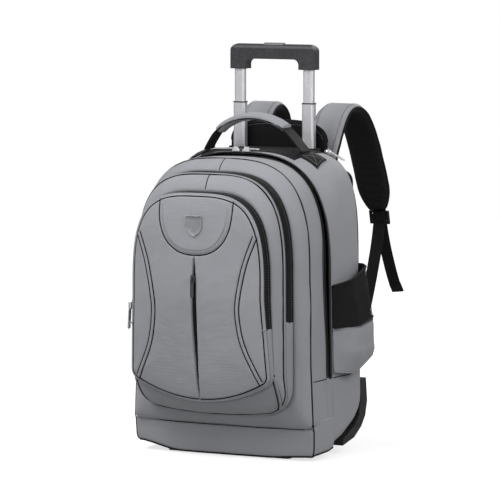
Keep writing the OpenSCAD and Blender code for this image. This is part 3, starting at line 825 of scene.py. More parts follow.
def build_slit_zip():
    """The upright zip in the slit of the pouch's face."""
    z = np.linspace(SLIT_LOW + 2, SLIT_TOP - 2, 110)
    wide = slit_half_width(z) + 0.9
    depth = pouch_face_y(np.stack([0 * z + 9, z], 1)) + 4.2
    rows = [np.stack([s * wide, depth - 0.7 * (1 - abs(s)), z], 1) for s in np.linspace(-1, 1, 9)]
    sheet_of("slit_tape", rows, "zip_tape", "front_pouch", 0.8)
    parts = []
    for k, height in enumerate(np.arange(SLIT_LOW + 8, SLIT_TOP - 8, 2.2)):
        centre = np.array([(-1) ** k * 0.7, np.interp(height, z, depth) - 1.3, height])
        parts.append(block_mesh(centre, (0, 0, 1), (1, 0, 0), (0, -1, 0), (1.5, 2.6, 1.4)))
    piece("slit_teeth", *join(parts), "zip_tape", "front_pouch", material=COIL, smooth=False)


def front_tape(y_piping, y_zip):
    """Depths and grows across the half of a pocket's zip in front of its teeth."""
    return (y_piping + 2.0, -1.6), (y_piping + 3.0, -0.6), (y_zip - 3.4, -0.3), (y_zip - 0.3, 0)


def rear_tape(y_zip, y_end):
    """Those of the half behind them, which rises to the slope."""
    return (y_zip + 0.3, 0), (y_zip + 3.4, 0.2), (y_end - 2, 1.0), (y_end + 1, 1.6)


def teeth(name, arch, y, z_from, grow, body):
    """One side's coil teeth along a zip that runs round an arch."""
    line = above(arch, z_from, grow, 900)
    line = resample(line, int(lengths(line)[-1] / TOOTH_PITCH))
    way = at_y(tangents(line), 0)
    parts = [block_mesh(p + n * 0.4, w, (0, 1, 0), n, (1.5, 2.4, 1.5))
             for p, n, w in zip(at_y(line, y), ring_normals(line), way)]
    piece(name, *join(parts), "zip_tape", body, material=COIL, smooth=False)


def half_zip(name, end, arch, z_end, tape, tooth, stitch, body, replaced=()):
    """One side of a zip round an arch: its tape, its teeth and the stitches along it.

    tape is a row of (depth, grow) pairs, and tooth and stitch are one pair each.
    """
    rows = [at_y(above(arch, z_end, grow), y) for y, grow in tape]
    sheet_of(f"{name}_zip_tape{end}", rows, "zip_tape", body, 0.9, stands_for=replaced)
    teeth(f"{name}_zip_teeth{end}", arch, tooth[0], z_end, tooth[1], body)
    line = above(arch, z_end, stitch[1], 400)
    stitches(f"{name}_tape_stitches{end}", [(at_y(line, stitch[0]), ring_normals(line))], body, "zip_tape",
             thick=0.6)


def gore_rows(arch, z_to, front, rear):
    """The closed cloth below a zip's ends. front and rear are (depth, lean)."""
    rows = []
    for k in np.linspace(0, 1, 10):
        line = below(arch, z_to, 0.8 * math.sin(k * math.pi) - 0.9 + 1.9 * k, 150)
        y_front, y_rear = (y + lean(line) for y, lean in (front, rear))
        rows.append(at_y(line, y_front * (1 - k) + y_rear * k))
    return rows


def gore(name, rows, y_front, y_rear, z=150):
    """Cloth between the bodies front and rear."""
    obj = sheet_of(name, rows, "grey_fabric", thick=1.8)
    row([0, y_front, z])
    row([0, y_rear, z])
    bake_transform(obj)


# ---------------------------------------------------------------- middle and front sections


SLOPE_POWER = 0.75


def slope_rows(inner, outer):
    """A rounded slope between two edges. Each edge is (arch, grow, depth, lean)."""
    rows = []
    a, b = (outline(edge[0], edge[1]) for edge in (inner, outer))
    y_a, y_b = inner[2] + inner[3](a), outer[2] + outer[3](b)
    for k in np.linspace(0, 1, 14):
        f = math.sin(k * math.pi / 2) ** SLOPE_POWER
        rows.append(at_y(a * (1 - f) + b * f, y_a * (1 - k) + y_b * k))
    rows = np.array(rows)
    normal = unit(rows - AXIS)
    rows += normal * (ripple(rows, 0.9, 40, 5.0) + ripple(rows, 0.3, 14, 2.0))[..., None]
    return rows


def slope_piece(name, body, inner, outer, node):
    """The slope as a piece that stands for a CAD node. Its rows are given back for the folds."""
    rows = slope_rows(inner, outer)
    sheet_of(name + "_slope", rows, "grey_fabric", body, 2.2, wrap=True, stands_for=[node])
    return rows


def fold_line(rows, start, end, lift):
    """A line down a slope, from near (x, z) point start on its inner edge to near end on its outer one."""
    first = np.argmin(np.hypot(*(rows[0][:, [0, 2]] - start).T))
    last = np.argmin(np.hypot(*(rows[-1][:, [0, 2]] - end).T))
    across = np.linspace(first, last, len(rows))
    low = np.floor(across).astype(int)
    part = (across - low)[:, None]
    each = np.arange(len(rows))
    line = rows[each, low] * (1 - part) + rows[each, np.minimum(low + 1, len(rows[0]) - 1)] * part
    return resample(line + unit(line - AXIS) * lift, 30)


def build_folds(rows):
    """The pinched fold from each lower corner of the pouch to that of the middle section."""
    pinch, dark = [], []
    for sign in (-1, 1):
        pinch.append(fold_line(rows, (sign * 125, 143), (sign * 119, 92), 0.5))
        # dark lines either side of the fold: seam thread with painted shade of the crease
        dark.append(fold_line(rows, (sign * 128, 149), (sign * 123, 95), 0.6))
        dark.append(fold_line(rows, (sign * 121, 137), (sign * 114, 89), 0.6))
    cord_piece("middle_folds", pinch, 2.2, "grey_fabric", "middle_section")
    seam_piece("middle_fold_seams", dark, 0.8, "middle_section")


def top_seam(name, body, inner, outer):
    """The short seam over the top of a slope."""
    line = []
    for k in np.linspace(0.05, 0.95, 12):
        f = math.sin(k * math.pi / 2) ** SLOPE_POWER
        y = inner[2] * (1 - k) + outer[2] * k
        line.append([1.5, y, (inner[0][3] + inner[1]) * (1 - f) + (outer[0][3] + outer[1]) * f + 0.4])
    seam_piece(name, [line], 0.6, body)


def build_middle():
    """The middle pocket: its slope, piping and seams, and its sides of the two pocket zips."""
    body = "middle_section"
    inner = (POCKET, 1.2, Y_POUCH_END + 1, no_lean)
    outer = (MIDDLE, -1.5, Y_MIDDLE, middle_lean)
    build_folds(slope_piece("middle", body, inner, outer, "middle_pocket"))
    edge = at_edge(outline(MIDDLE, -0.9), Y_MIDDLE + 1.0, middle_lean)
    cord_piece("middle_piping", [edge], PIPE, "grey_fabric", body, closed=True)
    foot = at_edge(below(MIDDLE, MIDDLE_ZIP_Z + 2, -0.9, 200), Y_MIDDLE + REAR_SEAM, middle_lean)
    # dark lines of seam thread with painted shade in the grooves beside the piping
    ring = at_edge(outline(MIDDLE, -1.7, 300), Y_MIDDLE - 2.6, middle_lean)
    tubes = [tube_mesh(ring, SEAM_R, 6, True), tube_mesh(foot, SEAM_R, 6)]
    piece("middle_seams", *join(tubes), "grey_fabric", body, material=SEAM)
    half_zip("pouch", "_rear", POCKET, POUCH_ZIP_Z, rear_tape(Y_POUCH_ZIP, Y_POUCH_END),
             (Y_POUCH_ZIP + TOOTH_SIDE, 0.1), (Y_POUCH_END - 4.4, 0.6), body)
    half_zip("middle", "", MIDDLE, MIDDLE_ZIP_Z, front_tape(Y_MIDDLE, Y_MIDDLE_ZIP),
             (Y_MIDDLE_ZIP - TOOTH_SIDE, 0.1), (Y_MIDDLE + 5.2, -0.2), body, ["middle_zip"])
    inner_panel("middle_lining", MIDDLE, -4, Y_MIDDLE + 5, body)
    inner_panel("pouch_back_lining", POCKET, -4, Y_POUCH_END + 3, body)
    top_seam("middle_top_seam", body, inner, outer)


def inner_panel(name, arch, grow, y, body):
    """The lining behind a panel."""
    points = at_y(coons(arch, grow, 40, 46), y)
    points[..., 1] += ripple(points, 1.6, 60, 9.0)
    sheet_of(name, points, "lining", body, thick=1.2)


def front_side_x(z):
    """Half width of the front section's side at height z."""
    return np.interp(z, [62, 295], [FRONT[1], FRONT[0]])


def build_front():
    """The main compartment's front: its slope, gusset and seams, and its sides of two zips."""
    body = "front_section"
    inner = (MIDDLE, 1.2, Y_MIDDLE_END + 1, middle_rear_lean)
    outer = (FRONT, -1.0, Y_FRONT, front_lean)
    slope_piece("front", body, inner, outer, "front_shell")
    edge = at_edge(above(FRONT, CREASE_Z, -0.6, 300), Y_FRONT + 1.2, front_lean)
    cord_piece("front_piping", [edge], 1.6, "grey_fabric", body)
    edge = at_edge(above(FRONT, CREASE_Z, -0.9, 300), Y_FRONT - 1.6, front_lean)
    seam_piece("front_seams", [edge], 1.1, body)
    half_zip("middle", "_rear", MIDDLE, MIDDLE_ZIP_Z, rear_tape(Y_MIDDLE_ZIP, Y_MIDDLE_END),
             (Y_MIDDLE_ZIP + TOOTH_SIDE, 0.1), (Y_MIDDLE_END - 4.4, 0.6), body)
    gusset = []
    for k in np.linspace(0, 1, 14):
        line = outline(FRONT, 1.2 * math.sin(k * math.pi) - 0.8)
        y_low, y_high = Y_FRONT + 1.5 + front_lean(line), Y_ZIP - 1 + zip_lean(line)
        gusset.append(at_y(line, y_low * (1 - k) + y_high * k))
    gusset = np.array(gusset)
    normal = np.array([ring_normals(outline(FRONT, 0), True)] * len(gusset))
    gusset += normal * ripple(gusset, 1.0, 42, 1.0)[..., None] * step(gusset[..., 2], 60, 140)[..., None]
    sheet_of("front_gusset", gusset, "grey_fabric", body, wrap=True, thick=2.4)
    lines = []
    for sign in (-1, 1):
        y = np.linspace(Y_FRONT - 4, Y_ZIP - 2, 16)
        x = front_side_x(SEAM_Z) - 0.8 + 1.2 * np.sin(np.linspace(0, math.pi, 16))
        lines.append(np.stack([sign * x, y, np.full(16, float(SEAM_Z))], 1))
    seam_piece("front_panel_seam", lines, 0.8, body)
    tape = ((Y_ZIP - 1.2, -2.4), (Y_ZIP + 0.6, -1.4), (Y_TEETH - 3.0, -0.8), (Y_TEETH - 0.3, -0.4))
    half_zip("main", "_front", FRONT, SEAM_Z, tape, (Y_TEETH - TOOTH_SIDE, -0.2), (Y_ZIP + 2.4, -0.9), body,
             ["main_zip_front"])
    inner_panel("front_lining", FRONT, -16, Y_FRONT + 4, body)
    top_seam("front_top_seam", body, inner, outer)


def build_gores():
    """Closed cloth under the zips' ends."""
    rows = gore_rows(POCKET, POUCH_ZIP_Z, (Y_POUCH + 1, pouch_lean), (Y_POUCH_END + 1, no_lean))
    gore("pouch_gore", rows, Y_POUCH, Y_POUCH_END)
    rows = gore_rows(MIDDLE, MIDDLE_ZIP_Z, (Y_MIDDLE + 1, middle_lean), (Y_MIDDLE_END + 1, middle_rear_lean))
    gore("middle_gore", rows, Y_MIDDLE, Y_MIDDLE_END)
    for tag, sign in SIDES:
        z = np.linspace(60, SEAM_Z + 1, 16)
        x_front = front_side_x(z)
        x_rear = np.interp(z, *CASE_SIDE)
        rows = [np.stack([sign * (x_front * (1 - k) + x_rear * k - 0.7), np.full_like(z, y), z], 1)
                for k, y in zip(np.linspace(0, 1, 10), np.linspace(Y_ZIP - 2, Y_REAR + 2, 10))]
        gore(f"side_gore_{tag}", rows, Y_ZIP, Y_REAR, 100)


# ---------------------------------------------------------------- case


REAR_DEEP = 98
CASE_SIDE = ([30, 300], [CASE[1], CASE[0]])


def rear_crown(y):
    """How much the rear body swells between its zip and its back, from 0 to 1 and back."""
    return np.sin((y - Y_REAR) / REAR_DEEP * math.pi)


def at_tubes(rows):
    """Which points of a wall stand where the trolley's tubes pass."""
    return (np.abs(rows[..., 0]) < 85) & (rows[..., 2] < 200)


def under_z(y):
    """Height of the case's underside at depth y."""
    return np.interp(y, [-112, -104, -60, -35, -5, 36, 50, 58], [16, 9, 11, 16, 25, 45, 58, 80])


def case_arch_at(y):
    k = step(y, Y_REAR, 16)
    arch = CASE * (1 - k) + REAR * k
    arch[5] = under_z(y)
    return arch


def rear_lift(points):
    """The soft unevenness of the rear body's cloth."""
    return ripple(points, 1.6, 70, 2.0) * step(points[..., 2], 60, 160) + ripple(points, 0.5, 24, 4.0)


def rear_top(x, y, lift=0.0):
    """Points on the top of the rear body, lift above its cloth. x and y are arrays."""
    z = []
    for one_x, one_y in zip(np.ravel(x), np.ravel(y)):
        arch = case_arch_at(one_y)
        half, z_shoulder, z_top, power = arch[0], arch[2], arch[3], arch[4]
        z.append(z_shoulder + (z_top - z_shoulder) * (1 - (abs(one_x) / half) ** power) ** (1 / power))
    points = np.stack([x, y, np.reshape(z, np.shape(x))], -1)
    points[..., 2] += rear_lift(points) + 0.8 * rear_crown(points[..., 1]) + lift
    return points


def build_rear():
    """The rear half of the main compartment, its side of the main zip and the black cloth on its top."""
    body = "case"
    rows = []
    depths = [(y, 0.8 * rear_crown(y)) for y in np.linspace(Y_REAR - 0.5, 52, 30)]
    depths += [(55, -0.8), (58, -3.2), (60, -6.5), (60.8, -10.5), (61, -18)]
    for y, grow in depths:
        line = outline(case_arch_at(min(y, 56)), grow, 320)
        rows.append(at_y(line, y + zip_rear_lean(line) * max(0, 1 - (y - Y_REAR) / 40)))
    rows = np.array(rows)
    normal = np.array([ring_normals(outline(CASE, 0, 320), True)] * len(rows))
    rows += normal * rear_lift(rows)[..., None]
    rows[..., 1] = np.where(at_tubes(rows), np.minimum(rows[..., 1], 55), rows[..., 1])
    sheet_of("rear_body", rows, "grey_fabric", body, 2.6, wrap=True, stands_for=["rear_shell"])
    tape = ((Y_TEETH + 0.3, -0.6), (Y_TEETH + 3.0, -0.8), (Y_REAR - 0.6, -1.4), (Y_REAR + 1.2, -2.8))
    half_zip("main", "_rear", CASE, SEAM_Z, tape, (Y_TEETH + TOOTH_SIDE, -0.2), (Y_TEETH + 4.0, -0.5), body,
             ["main_zip_rear"])
    edge = above(CASE, SEAM_Z, -0.4, 260)
    cord_piece("rear_front_piping", [at_edge(edge, Y_REAR + 0.8, zip_rear_lean)], 1.3, "grey_fabric", body)
    # seam round the lower panel
    lines = []
    for sign in (-1, 1):
        y = np.linspace(Y_REAR, 56, 24)
        x = sign * (np.interp(SEAM_Z, *CASE_SIDE) + rear_crown(y))
        lines.append(np.stack([x, y, np.full_like(y, SEAM_Z)], 1))
    seam_piece("lower_panel_seam", lines, 0.8, body)
    # black cloth on the top, round the tubes
    x, y = np.meshgrid(np.linspace(-98, 98, 60), np.linspace(-36, 59, 34))
    x = x * (1 - 0.06 * step(-y, 0, 36))
    rows = rear_top(x, y, 1.1)
    rows[-2:, :, 2] += np.array([[-0.6], [-2.4]])
    rows[[0, -1]] -= [0, 0, 1.8]
    rows[:, [0, -1]] -= [0, 0, 1.8]
    sheet_of("top_cover", rows, "black_fabric", body, thick=0.8)


def base_plan():
    """The base's outline seen from above, from its rear left corner round the front."""
    half, r, y_front = 167.5, 6, -113
    a = np.radians(np.linspace(0, 90, 14))
    left = np.stack([np.full(40, -half), np.linspace(Y_REAR, y_front + r, 40)], 1)
    corner_l = np.stack([-half + r - r * np.cos(a), y_front + r - r * np.sin(a)], 1)
    right = left[::-1] * [-1, 1]
    corner_r = corner_l[::-1] * [-1, 1]
    x = np.linspace(-half + r, half - r, 90)[1:-1]
    front = np.stack([x, y_front - 6 * (1 - (x / (half - r)) ** 2)], 1)
    return resample(np.vstack([left[:-1], corner_l, front, corner_r, right[1:]]), 240)


def base_rows(plan):
    """Rows up the base's wall, from its foot to the crease and over it."""
    corner = step(np.abs(plan[:, 0]), 120, 167) * step(-plan[:, 1], 60, 100)
    z_side = under_z(plan[:, 1]) + 1.0 + 9 * corner * (plan[:, 0] < 0)
    z_front = 3.5 + np.where(plan[:, 0] < 0, 13, 4) * step(np.abs(plan[:, 0]), 80, 165)
    front = step(-plan[:, 1], 100, 112)
    z_low = z_side * (1 - front) + z_front * front
    rows = []
    for k in np.linspace(0, 1, 26):
        z = z_low + (66 - z_low) * k
        pull = np.interp(k, [0, 0.06, 0.2, 0.5, 0.72, 0.76, 0.82, 1], [5, 2.6, 1.6, 0.8, 0.2, 1.5, 6, 14])
        towards = unit(np.stack([plan[:, 0] * 0.18, np.minimum(plan[:, 1] + 70, 0)], 1))
        amount = pull * step(-plan[:, 1], 90, 116)
        side = np.interp(k, [0, 0.06, 0.2, 1], [3, 1.4, 0.5, 0])
        x = plan[:, 0] - towards[:, 0] * amount - np.sign(plan[:, 0]) * side * (np.abs(plan[:, 0]) > 150)
        y = plan[:, 1] - towards[:, 1] * amount
        rows.append(np.stack([x, y, z], 1))
    rows = np.array(rows)
    rows[..., 1] += ripple(rows, 1.2, 50, 6.0) * step(-rows[..., 1], 60, 100)
    return rows


def build_base():
    """The box under the front: a crease runs round it below the pockets."""
    body = "case"
    plan = base_plan()
    rows = base_rows(plan)
    sheet_of("base_front", rows, "grey_fabric", body, 2.6, stands_for=["base_shell"])
    bottom = []
    for k in np.linspace(0, 1, 14):
        line = rows[0].copy()
        line[:, 0] *= 1 - k
        line[:, 2] = rows[0][:, 2] - 0.4 + 1.0 * k
        bottom.append(line)
    sheet_of("base_underside", bottom, "black_fabric", body, thick=1.4)
    cord_piece("base_foot_piping", [rows[0]], 1.7, "black_fabric", body)
    crease = rows[19]
    seam_piece("base_crease_seam", [crease[np.abs(crease[:, 0]) < 150]], 0.7, body)
    for tag, sign in SIDES:
        at = np.argmin(np.hypot(plan[:, 0] - sign * 166, plan[:, 1] + 111.5))
        line = np.vstack([rows[:18, at] + [sign * 0.3, -0.3, 0], [sign * 166, -114, 60]])
        seam_piece(f"base_corner_cord_{tag}", [line], 1.1, body, "black_fabric")


def build_back():
    """The gusset behind the tubes with its zip, and the panel that carries the pads."""
    body = "case"
    rows = np.array([at_y(outline(BACK, g, 240), y) for y, g in
                     ((58.5, -4), (59.5, -1.5), (62, -0.4), (68, 0.2), (74, -0.2), (76.6, -2))])
    behind = np.maximum(rows[..., 1], 75.6 + rows[..., 1] / 100)
    rows[..., 1] = np.where(at_tubes(rows), behind, rows[..., 1])
    sheet_of("back_gusset_cloth", rows, "black_fabric", body, 2.0, wrap=True, stands_for=["back_gusset"])
    edge = at_y(outline(BACK, -0.6), Y_BOARD + 0.6)
    cord_piece("back_piping", [edge], 2.0, "black_fabric", body, closed=True)
    points = at_y(coons(BACK, -2.5, 60, 70), Y_BOARD + 1.2)
    points[..., 1] += ripple(points, 0.5, 50, 8.0)
    sheet_of("back_panel", points, "black_fabric", body, stands_for=["back_board"], thick=1.6)
    tape = ((69.5, 0.4), (70.5, 1.0), (75, 1.0), (76.2, 0.2))
    rows = [at_y(above(BACK, BACK_ZIP_Z, grow), y) for y, grow in tape]
    sheet_of("back_zip_tape", rows, "zip_tape", body, 0.8, stands_for=["back_zip"])
    teeth("back_zip_teeth", BACK, 73.2, BACK_ZIP_Z, 0.8, body)
    back_pads()


PAD_POINTS = 120
PADS = {"back_pad_left": (-138, -10, 234, 460), "back_pad_right": (10, 138, 234, 460),
        "lumbar_pad": (-141, 141, 132, 220)}


def back_pads():
    """Two upright pads and a lumbar pad, with a channel between them, swollen by a cloth simulation."""
    for name, (x_a, x_b, z_a, z_b) in PADS.items():
        obj = pad_block(name, x_a, x_b, z_a, z_b, Y_BOARD + 2.2, 6.0)
        swell(obj)
        obj.data.materials.clear()
        obj.data.materials.append(STUFF["black_foam"])
        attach(obj, "case")
        if name == "back_pad_left":
            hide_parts("back_padding")
        if name != "lumbar_pad":
            x = np.linspace(x_a + 9, x_b - 9, 24)
            # dark channel lines: seam thread with painted shade in the channels
            lines = [at_y(np.stack([x, z + 0.0004 * (abs(x) - 75) ** 2], 1), Y_BOARD + 9.2)
                     for z in np.arange(z_a + 26, z_b - 12, 26)]
            seam_piece(name + "_channels", lines, 1.0, "case", "black_foam")
        edge = at_y(rounded_rect(x_a + 1, x_b - 1, z_a + 1, z_b - 1, 16), Y_BOARD + 3.2)
        cord_piece(name + "_binding", [edge], 2.4, "black_fabric", "case", closed=True)


def rounded_rect(x_a, x_b, z_a, z_b, r):
    """(x, z) points round a rectangle with corners of radius r."""
    a = np.radians(np.linspace(0, 90, 10))
    corners = [(x_b - r, z_b - r, 0), (x_a + r, z_b - r, 90),
               (x_a + r, z_a + r, 180), (x_b - r, z_a + r, 270)]
    points = [[cx + r * math.cos(t + math.radians(d)), cz + r * math.sin(t + math.radians(d))]
              for cx, cz, d in corners for t in a]
    return resample(np.array(points), PAD_POINTS, closed=True)


def pad_block(name, x_a, x_b, z_a, z_b, y, thick):
    """A thin closed pad with rounded corners, before it swells."""
    rings = [(y, 6), (y, 1.5), (y + thick * 0.3, 0), (y + thick * 0.7, 0), (y + thick, 2.5), (y + thick, 7)]
    verts = [at_y(rounded_rect(x_a + inset, x_b - inset, z_a + inset, z_b - inset, 15), depth)
             for depth, inset in rings]
    faces = grid_faces(len(rings), PAD_POINTS, True)
    faces.append(tuple(range(PAD_POINTS))[::-1])
    faces.append(tuple(range((len(rings) - 1) * PAD_POINTS, len(rings) * PAD_POINTS)))
    mesh = bpy.data.meshes.new(name)
    mesh.from_pydata([tuple(p) for p in row(np.vstack(verts))], [], faces)
    return linked(name, mesh)


PAD_VOXEL, PAD_PRESSURE, PAD_CAP, PAD_FRAMES = 0.005, 4.0, 0.005, 15


def swell(obj):
    """Remeshes a closed pad and swells it with a short cloth simulation.

    No point moves more than PAD_CAP, in metres, and none goes behind the pad's flat side.
    """
    bpy.context.view_layer.objects.active = obj
    remesh = obj.modifiers.new("remesh", "REMESH")
    remesh.mode = "VOXEL"
    remesh.voxel_size = PAD_VOXEL
    bake(obj)
    before = np.array([v.co[:] for v in obj.data.vertices])
    back = before[:, 1].min()
    settings = obj.modifiers.new("cloth", "CLOTH").settings
    settings.use_pressure = True
    settings.uniform_pressure_force = PAD_PRESSURE
    settings.effector_weights.gravity = 0
    settings.quality = 5
    scene = bpy.context.scene
    for tick in range(1, PAD_FRAMES + 1):
        scene.frame_set(tick)
    bake(obj)
    scene.frame_set(1)
    after = np.array([v.co[:] for v in obj.data.vertices])
    move = after - before
    size = np.linalg.norm(move, axis=1, keepdims=True)
    move *= np.minimum(1, PAD_CAP / np.maximum(size, 1e-9))
    placed = before + move
    placed[:, 1] = np.maximum(placed[:, 1], back)
    obj.data.vertices.foreach_set("co", placed.astype(np.float32).ravel())
    subsurf = obj.modifiers.new("smooth", "SUBSURF")
    subsurf.levels = subsurf.render_levels = 1
    obj.data.shade_smooth()


def bake(obj):
    """Applies an object's modifiers to its mesh."""
    graph = bpy.context.evaluated_depsgraph_get()
    mesh = bpy.data.meshes.new_from_object(obj.evaluated_get(graph))
    obj.modifiers.clear()
    obj.data = mesh


FLAP = np.array([90, 92, 500, 541, 2.9, 470, 4, 0], float)
FLAP_POINTS = 160


def build_flap():
    """The black flap behind the tubes, and its stitched rim."""
    section = ((3.5, -5), (2.6, -1.6), (4.5, 0), (7.5, 0), (9.5, -2), (9.8, -6))
    rows = np.array([at_y(outline(FLAP, grow, FLAP_POINTS), Y_BOARD + y) for y, grow in section])
    faces = grid_faces(len(rows), FLAP_POINTS, True)
    verts = np.vstack([rows.reshape(-1, 3), rows[0].mean(0), rows[-1].mean(0)])
    last = (len(rows) - 1) * FLAP_POINTS
    faces += [(k, len(verts) - 2, (k + 1) % FLAP_POINTS) for k in range(FLAP_POINTS)]
    faces += [(last + (k + 1) % FLAP_POINTS, len(verts) - 1, last + k) for k in range(FLAP_POINTS)]
    flap = piece("top_flap_pad", verts, faces, "black_fabric", "case", stands_for=["top_flap"])
    edge = at_y(above(FLAP, 506, 0.2, 120), Y_BOARD + 6)
    cord_piece("top_flap_piping", [edge], 1.8, "black_fabric", "case")
    line = at_y(above(FLAP, 510, -6, 100), Y_BOARD + 3.0)
    stitches("top_flap_stitches", [(line, (0, -1, 0))], "case", slot="black_fabric")


# ---------------------------------------------------------------- side pockets


def side_x(z):
    """Half width of the case's side at height z."""
    return np.interp(z, [30, 300, 330], [167, 162, 160.5]) + 1.0


def pocket_x(y, z):
    """How far the side pocket's cloth stands from the middle of the case."""
    rise = step(y, -46, 2) ** 0.9 * (1 - 0.7 * step(y, 50, 60))
    tall = np.interp(z, [120, 150, 172, 212, 250, 320], [0.22, 0.72, 1.0, 0.98, 0.78, 0.4])
    return side_x(z) + 1.2 + 28.5 * rise * tall


POCKET_PANEL = ((140, 134, 166), (212, 226))
POCKET_NET = ((204, 209, 216), (280, 308))


def pocket_rows(z_low, z_high, rows_=26, columns=50, lift=0.0):
    """Rows of a side pocket's cloth. z_low is (front, middle, rear) heights and z_high is (front, rear)."""
    out = []
    y = np.append(np.linspace(-43, 58, columns - 2), [59.6, 60.4])
    tuck = np.zeros(columns)
    tuck[-2:] = (6, 18)
    for k in np.linspace(0, 1, rows_):
        low = np.interp(y, [-43, 8, 58], z_low)
        high = np.interp(y, [-43, 58], z_high) - 3 * np.sin(np.clip((y + 43) / 101, 0, 1) * math.pi)
        z = low + (high - low) * k
        out.append(np.stack([pocket_x(y, z) + lift - tuck, y, z], 1))
    return np.array(out)


def left_only(sign, node):
    """The CAD node that a left and right pair stands for, named by the left one only."""
    return [node] if sign < 0 else ()


def build_side_pockets():
    """Each side pocket's grey panel, its net over a dark lining, and their bound edges."""
    for tag, sign in SIDES:
        flip = np.array([sign, 1, 1])
        plain = pocket_rows(*POCKET_PANEL)
        panel = plain.copy()
        panel[..., 0] += ripple(panel, 1.6, 26, 3.0 * sign)
        sheet_of(f"side_panel_{tag}", panel * flip, "grey_fabric", "case", 1.6,
                 stands_for=left_only(sign, "side_panels"))
        backing = pocket_rows(*POCKET_NET, lift=-1.8)
        sheet_of(f"side_net_lining_{tag}", backing * flip, "black_fabric", "case", 0.8,
                 stands_for=left_only(sign, "side_meshes"))
        net(f"side_net_{tag}", flip)
        rim = pocket_rows(*POCKET_NET)[-1] * flip
        cord_piece(f"side_net_binding_{tag}", [rim], 2.4, "black_fabric", "case")
        seam = plain[-1] * flip + flip * [1.0, 0, 0]
        cord_piece(f"side_panel_seam_{tag}", [seam], 1.2, "black_fabric", "case")
        cord_piece(f"side_panel_foot_{tag}", [plain[0] * flip], 1.4, "grey_fabric", "case")


def net(name, flip):
    """An open net of diamond cells, with threads of real thickness."""
    columns, rows_ = 46, 34
    sheet = pocket_rows((206, 211, 219), (279, 307), rows_, columns)
    verts = (sheet * flip).reshape(-1, 3)
    faces = []
    for r in range(0, rows_ - 2):
        for c in range(1, columns - 1):
            if (r + c) % 2 == 0:
                faces.append((r * columns + c, (r + 1) * columns + c + 1, (r + 2) * columns + c,
                              (r + 1) * columns + c - 1))
    obj = piece(name, verts, faces, "mesh", "case", smooth=False)
    wire = obj.modifiers.new("threads", "WIREFRAME")
    wire.thickness = 0.85 * MM
    wire.use_even_offset = False


# ---------------------------------------------------------------- carry handle and straps

ACROSS = (1, 0, 0)
HANDLE_Y = -2
LOOP = [[-88, 494], [-80, 508], [-68, 524], [-48, 538], [-24, 545], [0, 547],
        [24, 545], [48, 538], [67, 524], [82, 508], [95, 494]]
GRIP_LINE = [[-65, 528], [-52, 538], [-28, 548.5], [-4, 552], [20, 550], [40, 543.5], [58, 534]]


def band(points, side, wide, thick, power=8.0, sides=24, wide_at=None):
    """Rows of a strap's closed section along points.

    side is its width's direction, power squares its section off, and wide_at scales its width along it.
    """
    points = np.array(points, float)
    t = tangents(points)
    s = unit(np.asarray(side, float) - t * (t @ np.asarray(side, float))[:, None])
    n = np.cross(s, t)
    a = np.linspace(0, 2 * math.pi, sides, endpoint=False)
    cx = np.sign(np.cos(a)) * np.abs(np.cos(a)) ** (2 / power)
    cy = np.sign(np.sin(a)) * np.abs(np.sin(a)) ** (2 / power)
    scale = np.ones(len(points)) if wide_at is None else wide_at
    return (points[:, None] + s[:, None] * cx[None, :, None] * (wide / 2) * scale[:, None, None]
            + n[:, None] * cy[None, :, None] * (thick / 2))


def band_piece(name, points, side, wide, thick, slot, body, power=8.0, sides=24, wide_at=None, **more):
    rows = band(points, side, wide, thick, power, sides, wide_at)
    count, columns = rows.shape[:2]
    verts = rows.reshape(-1, 3)
    faces = grid_faces(count, columns, True)
    faces += [tuple(range(columns))[::-1], tuple((count - 1) * columns + k for k in range(columns))]
    return piece(name, verts, faces, slot, body, **more)


def build_handle():
    """The carry handle: a webbing loop that bends into the case, with a padded grip."""
    loop = smooth_line([[x, HANDLE_Y, z + 1.2] for x, z in LOOP], 80)
    legs = band_piece("carry_webbing", loop, (0, 1, 0), 33, 2.2, "webbing", None, 5,
                      stands_for=["handle_loop"])
    row([0, HANDLE_Y, 520])
    row([0, HANDLE_Y, 497])
    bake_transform(legs)
    arc = smooth_line([[x, HANDLE_Y, z] for x, z in GRIP_LINE], 60)
    ends = np.minimum(1, 0.9 + 0.1 * np.minimum(np.arange(60), np.arange(60)[::-1]) / 6)
    grip = band_piece("carry_grip_pad", arc, (0, 1, 0), 33, 12.5, "grey_fabric", "carry_handle", 2.7, 32,
                      ends, stands_for=["handle_grip"])
    lines = [(arc[2:-2] + [0, side * 12.2, 4.4], (0, 0, 1)) for side in (-1, 1)]
    stitches("carry_grip_stitches", lines, "carry_handle")
    lines = [arc[1:-1] + [0, side * 16.2, -3.2] for side in (-1, 1)]
    seam_piece("carry_grip_seam", lines, 0.6, "carry_handle")
    for tag, sign in SIDES:
        build_handle_patch(tag, sign)


def build_handle_patch(tag, sign):
    """The webbing patch at a foot of the handle, sewn down with a crossed box."""
    x, y = np.meshgrid(np.linspace(85, 124, 30), HANDLE_Y + np.linspace(-16.5, 16.5, 12))
    rows = rear_top(sign * x, y, 3.2 + 1.6 * step(-x, -96, -85))
    sheet_of(f"handle_patch_{tag}", rows, "webbing", "case", 2.0,
             stands_for=left_only(sign, "sewn_anchors"))
    corners = ((94, -12), (94, 12), (121, 12), (121, -12))
    crossed = [(corners[a], corners[b]) for a, b in ((0, 1), (1, 2), (2, 3), (3, 0), (0, 2), (1, 3))]
    up = unit(np.array([sign * 0.6, 0, 0.8]))
    k = np.linspace(0, 1, 16)
    boxes = []
    for (x_a, y_a), (x_b, y_b) in crossed:
        line = rear_top(sign * (x_a + (x_b - x_a) * k), HANDLE_Y + y_a + (y_b - y_a) * k, 3.4)
        boxes.append((line, up))
    stitches(f"handle_patch_stitches_{tag}", boxes, "case", slot="webbing", thick=0.6)


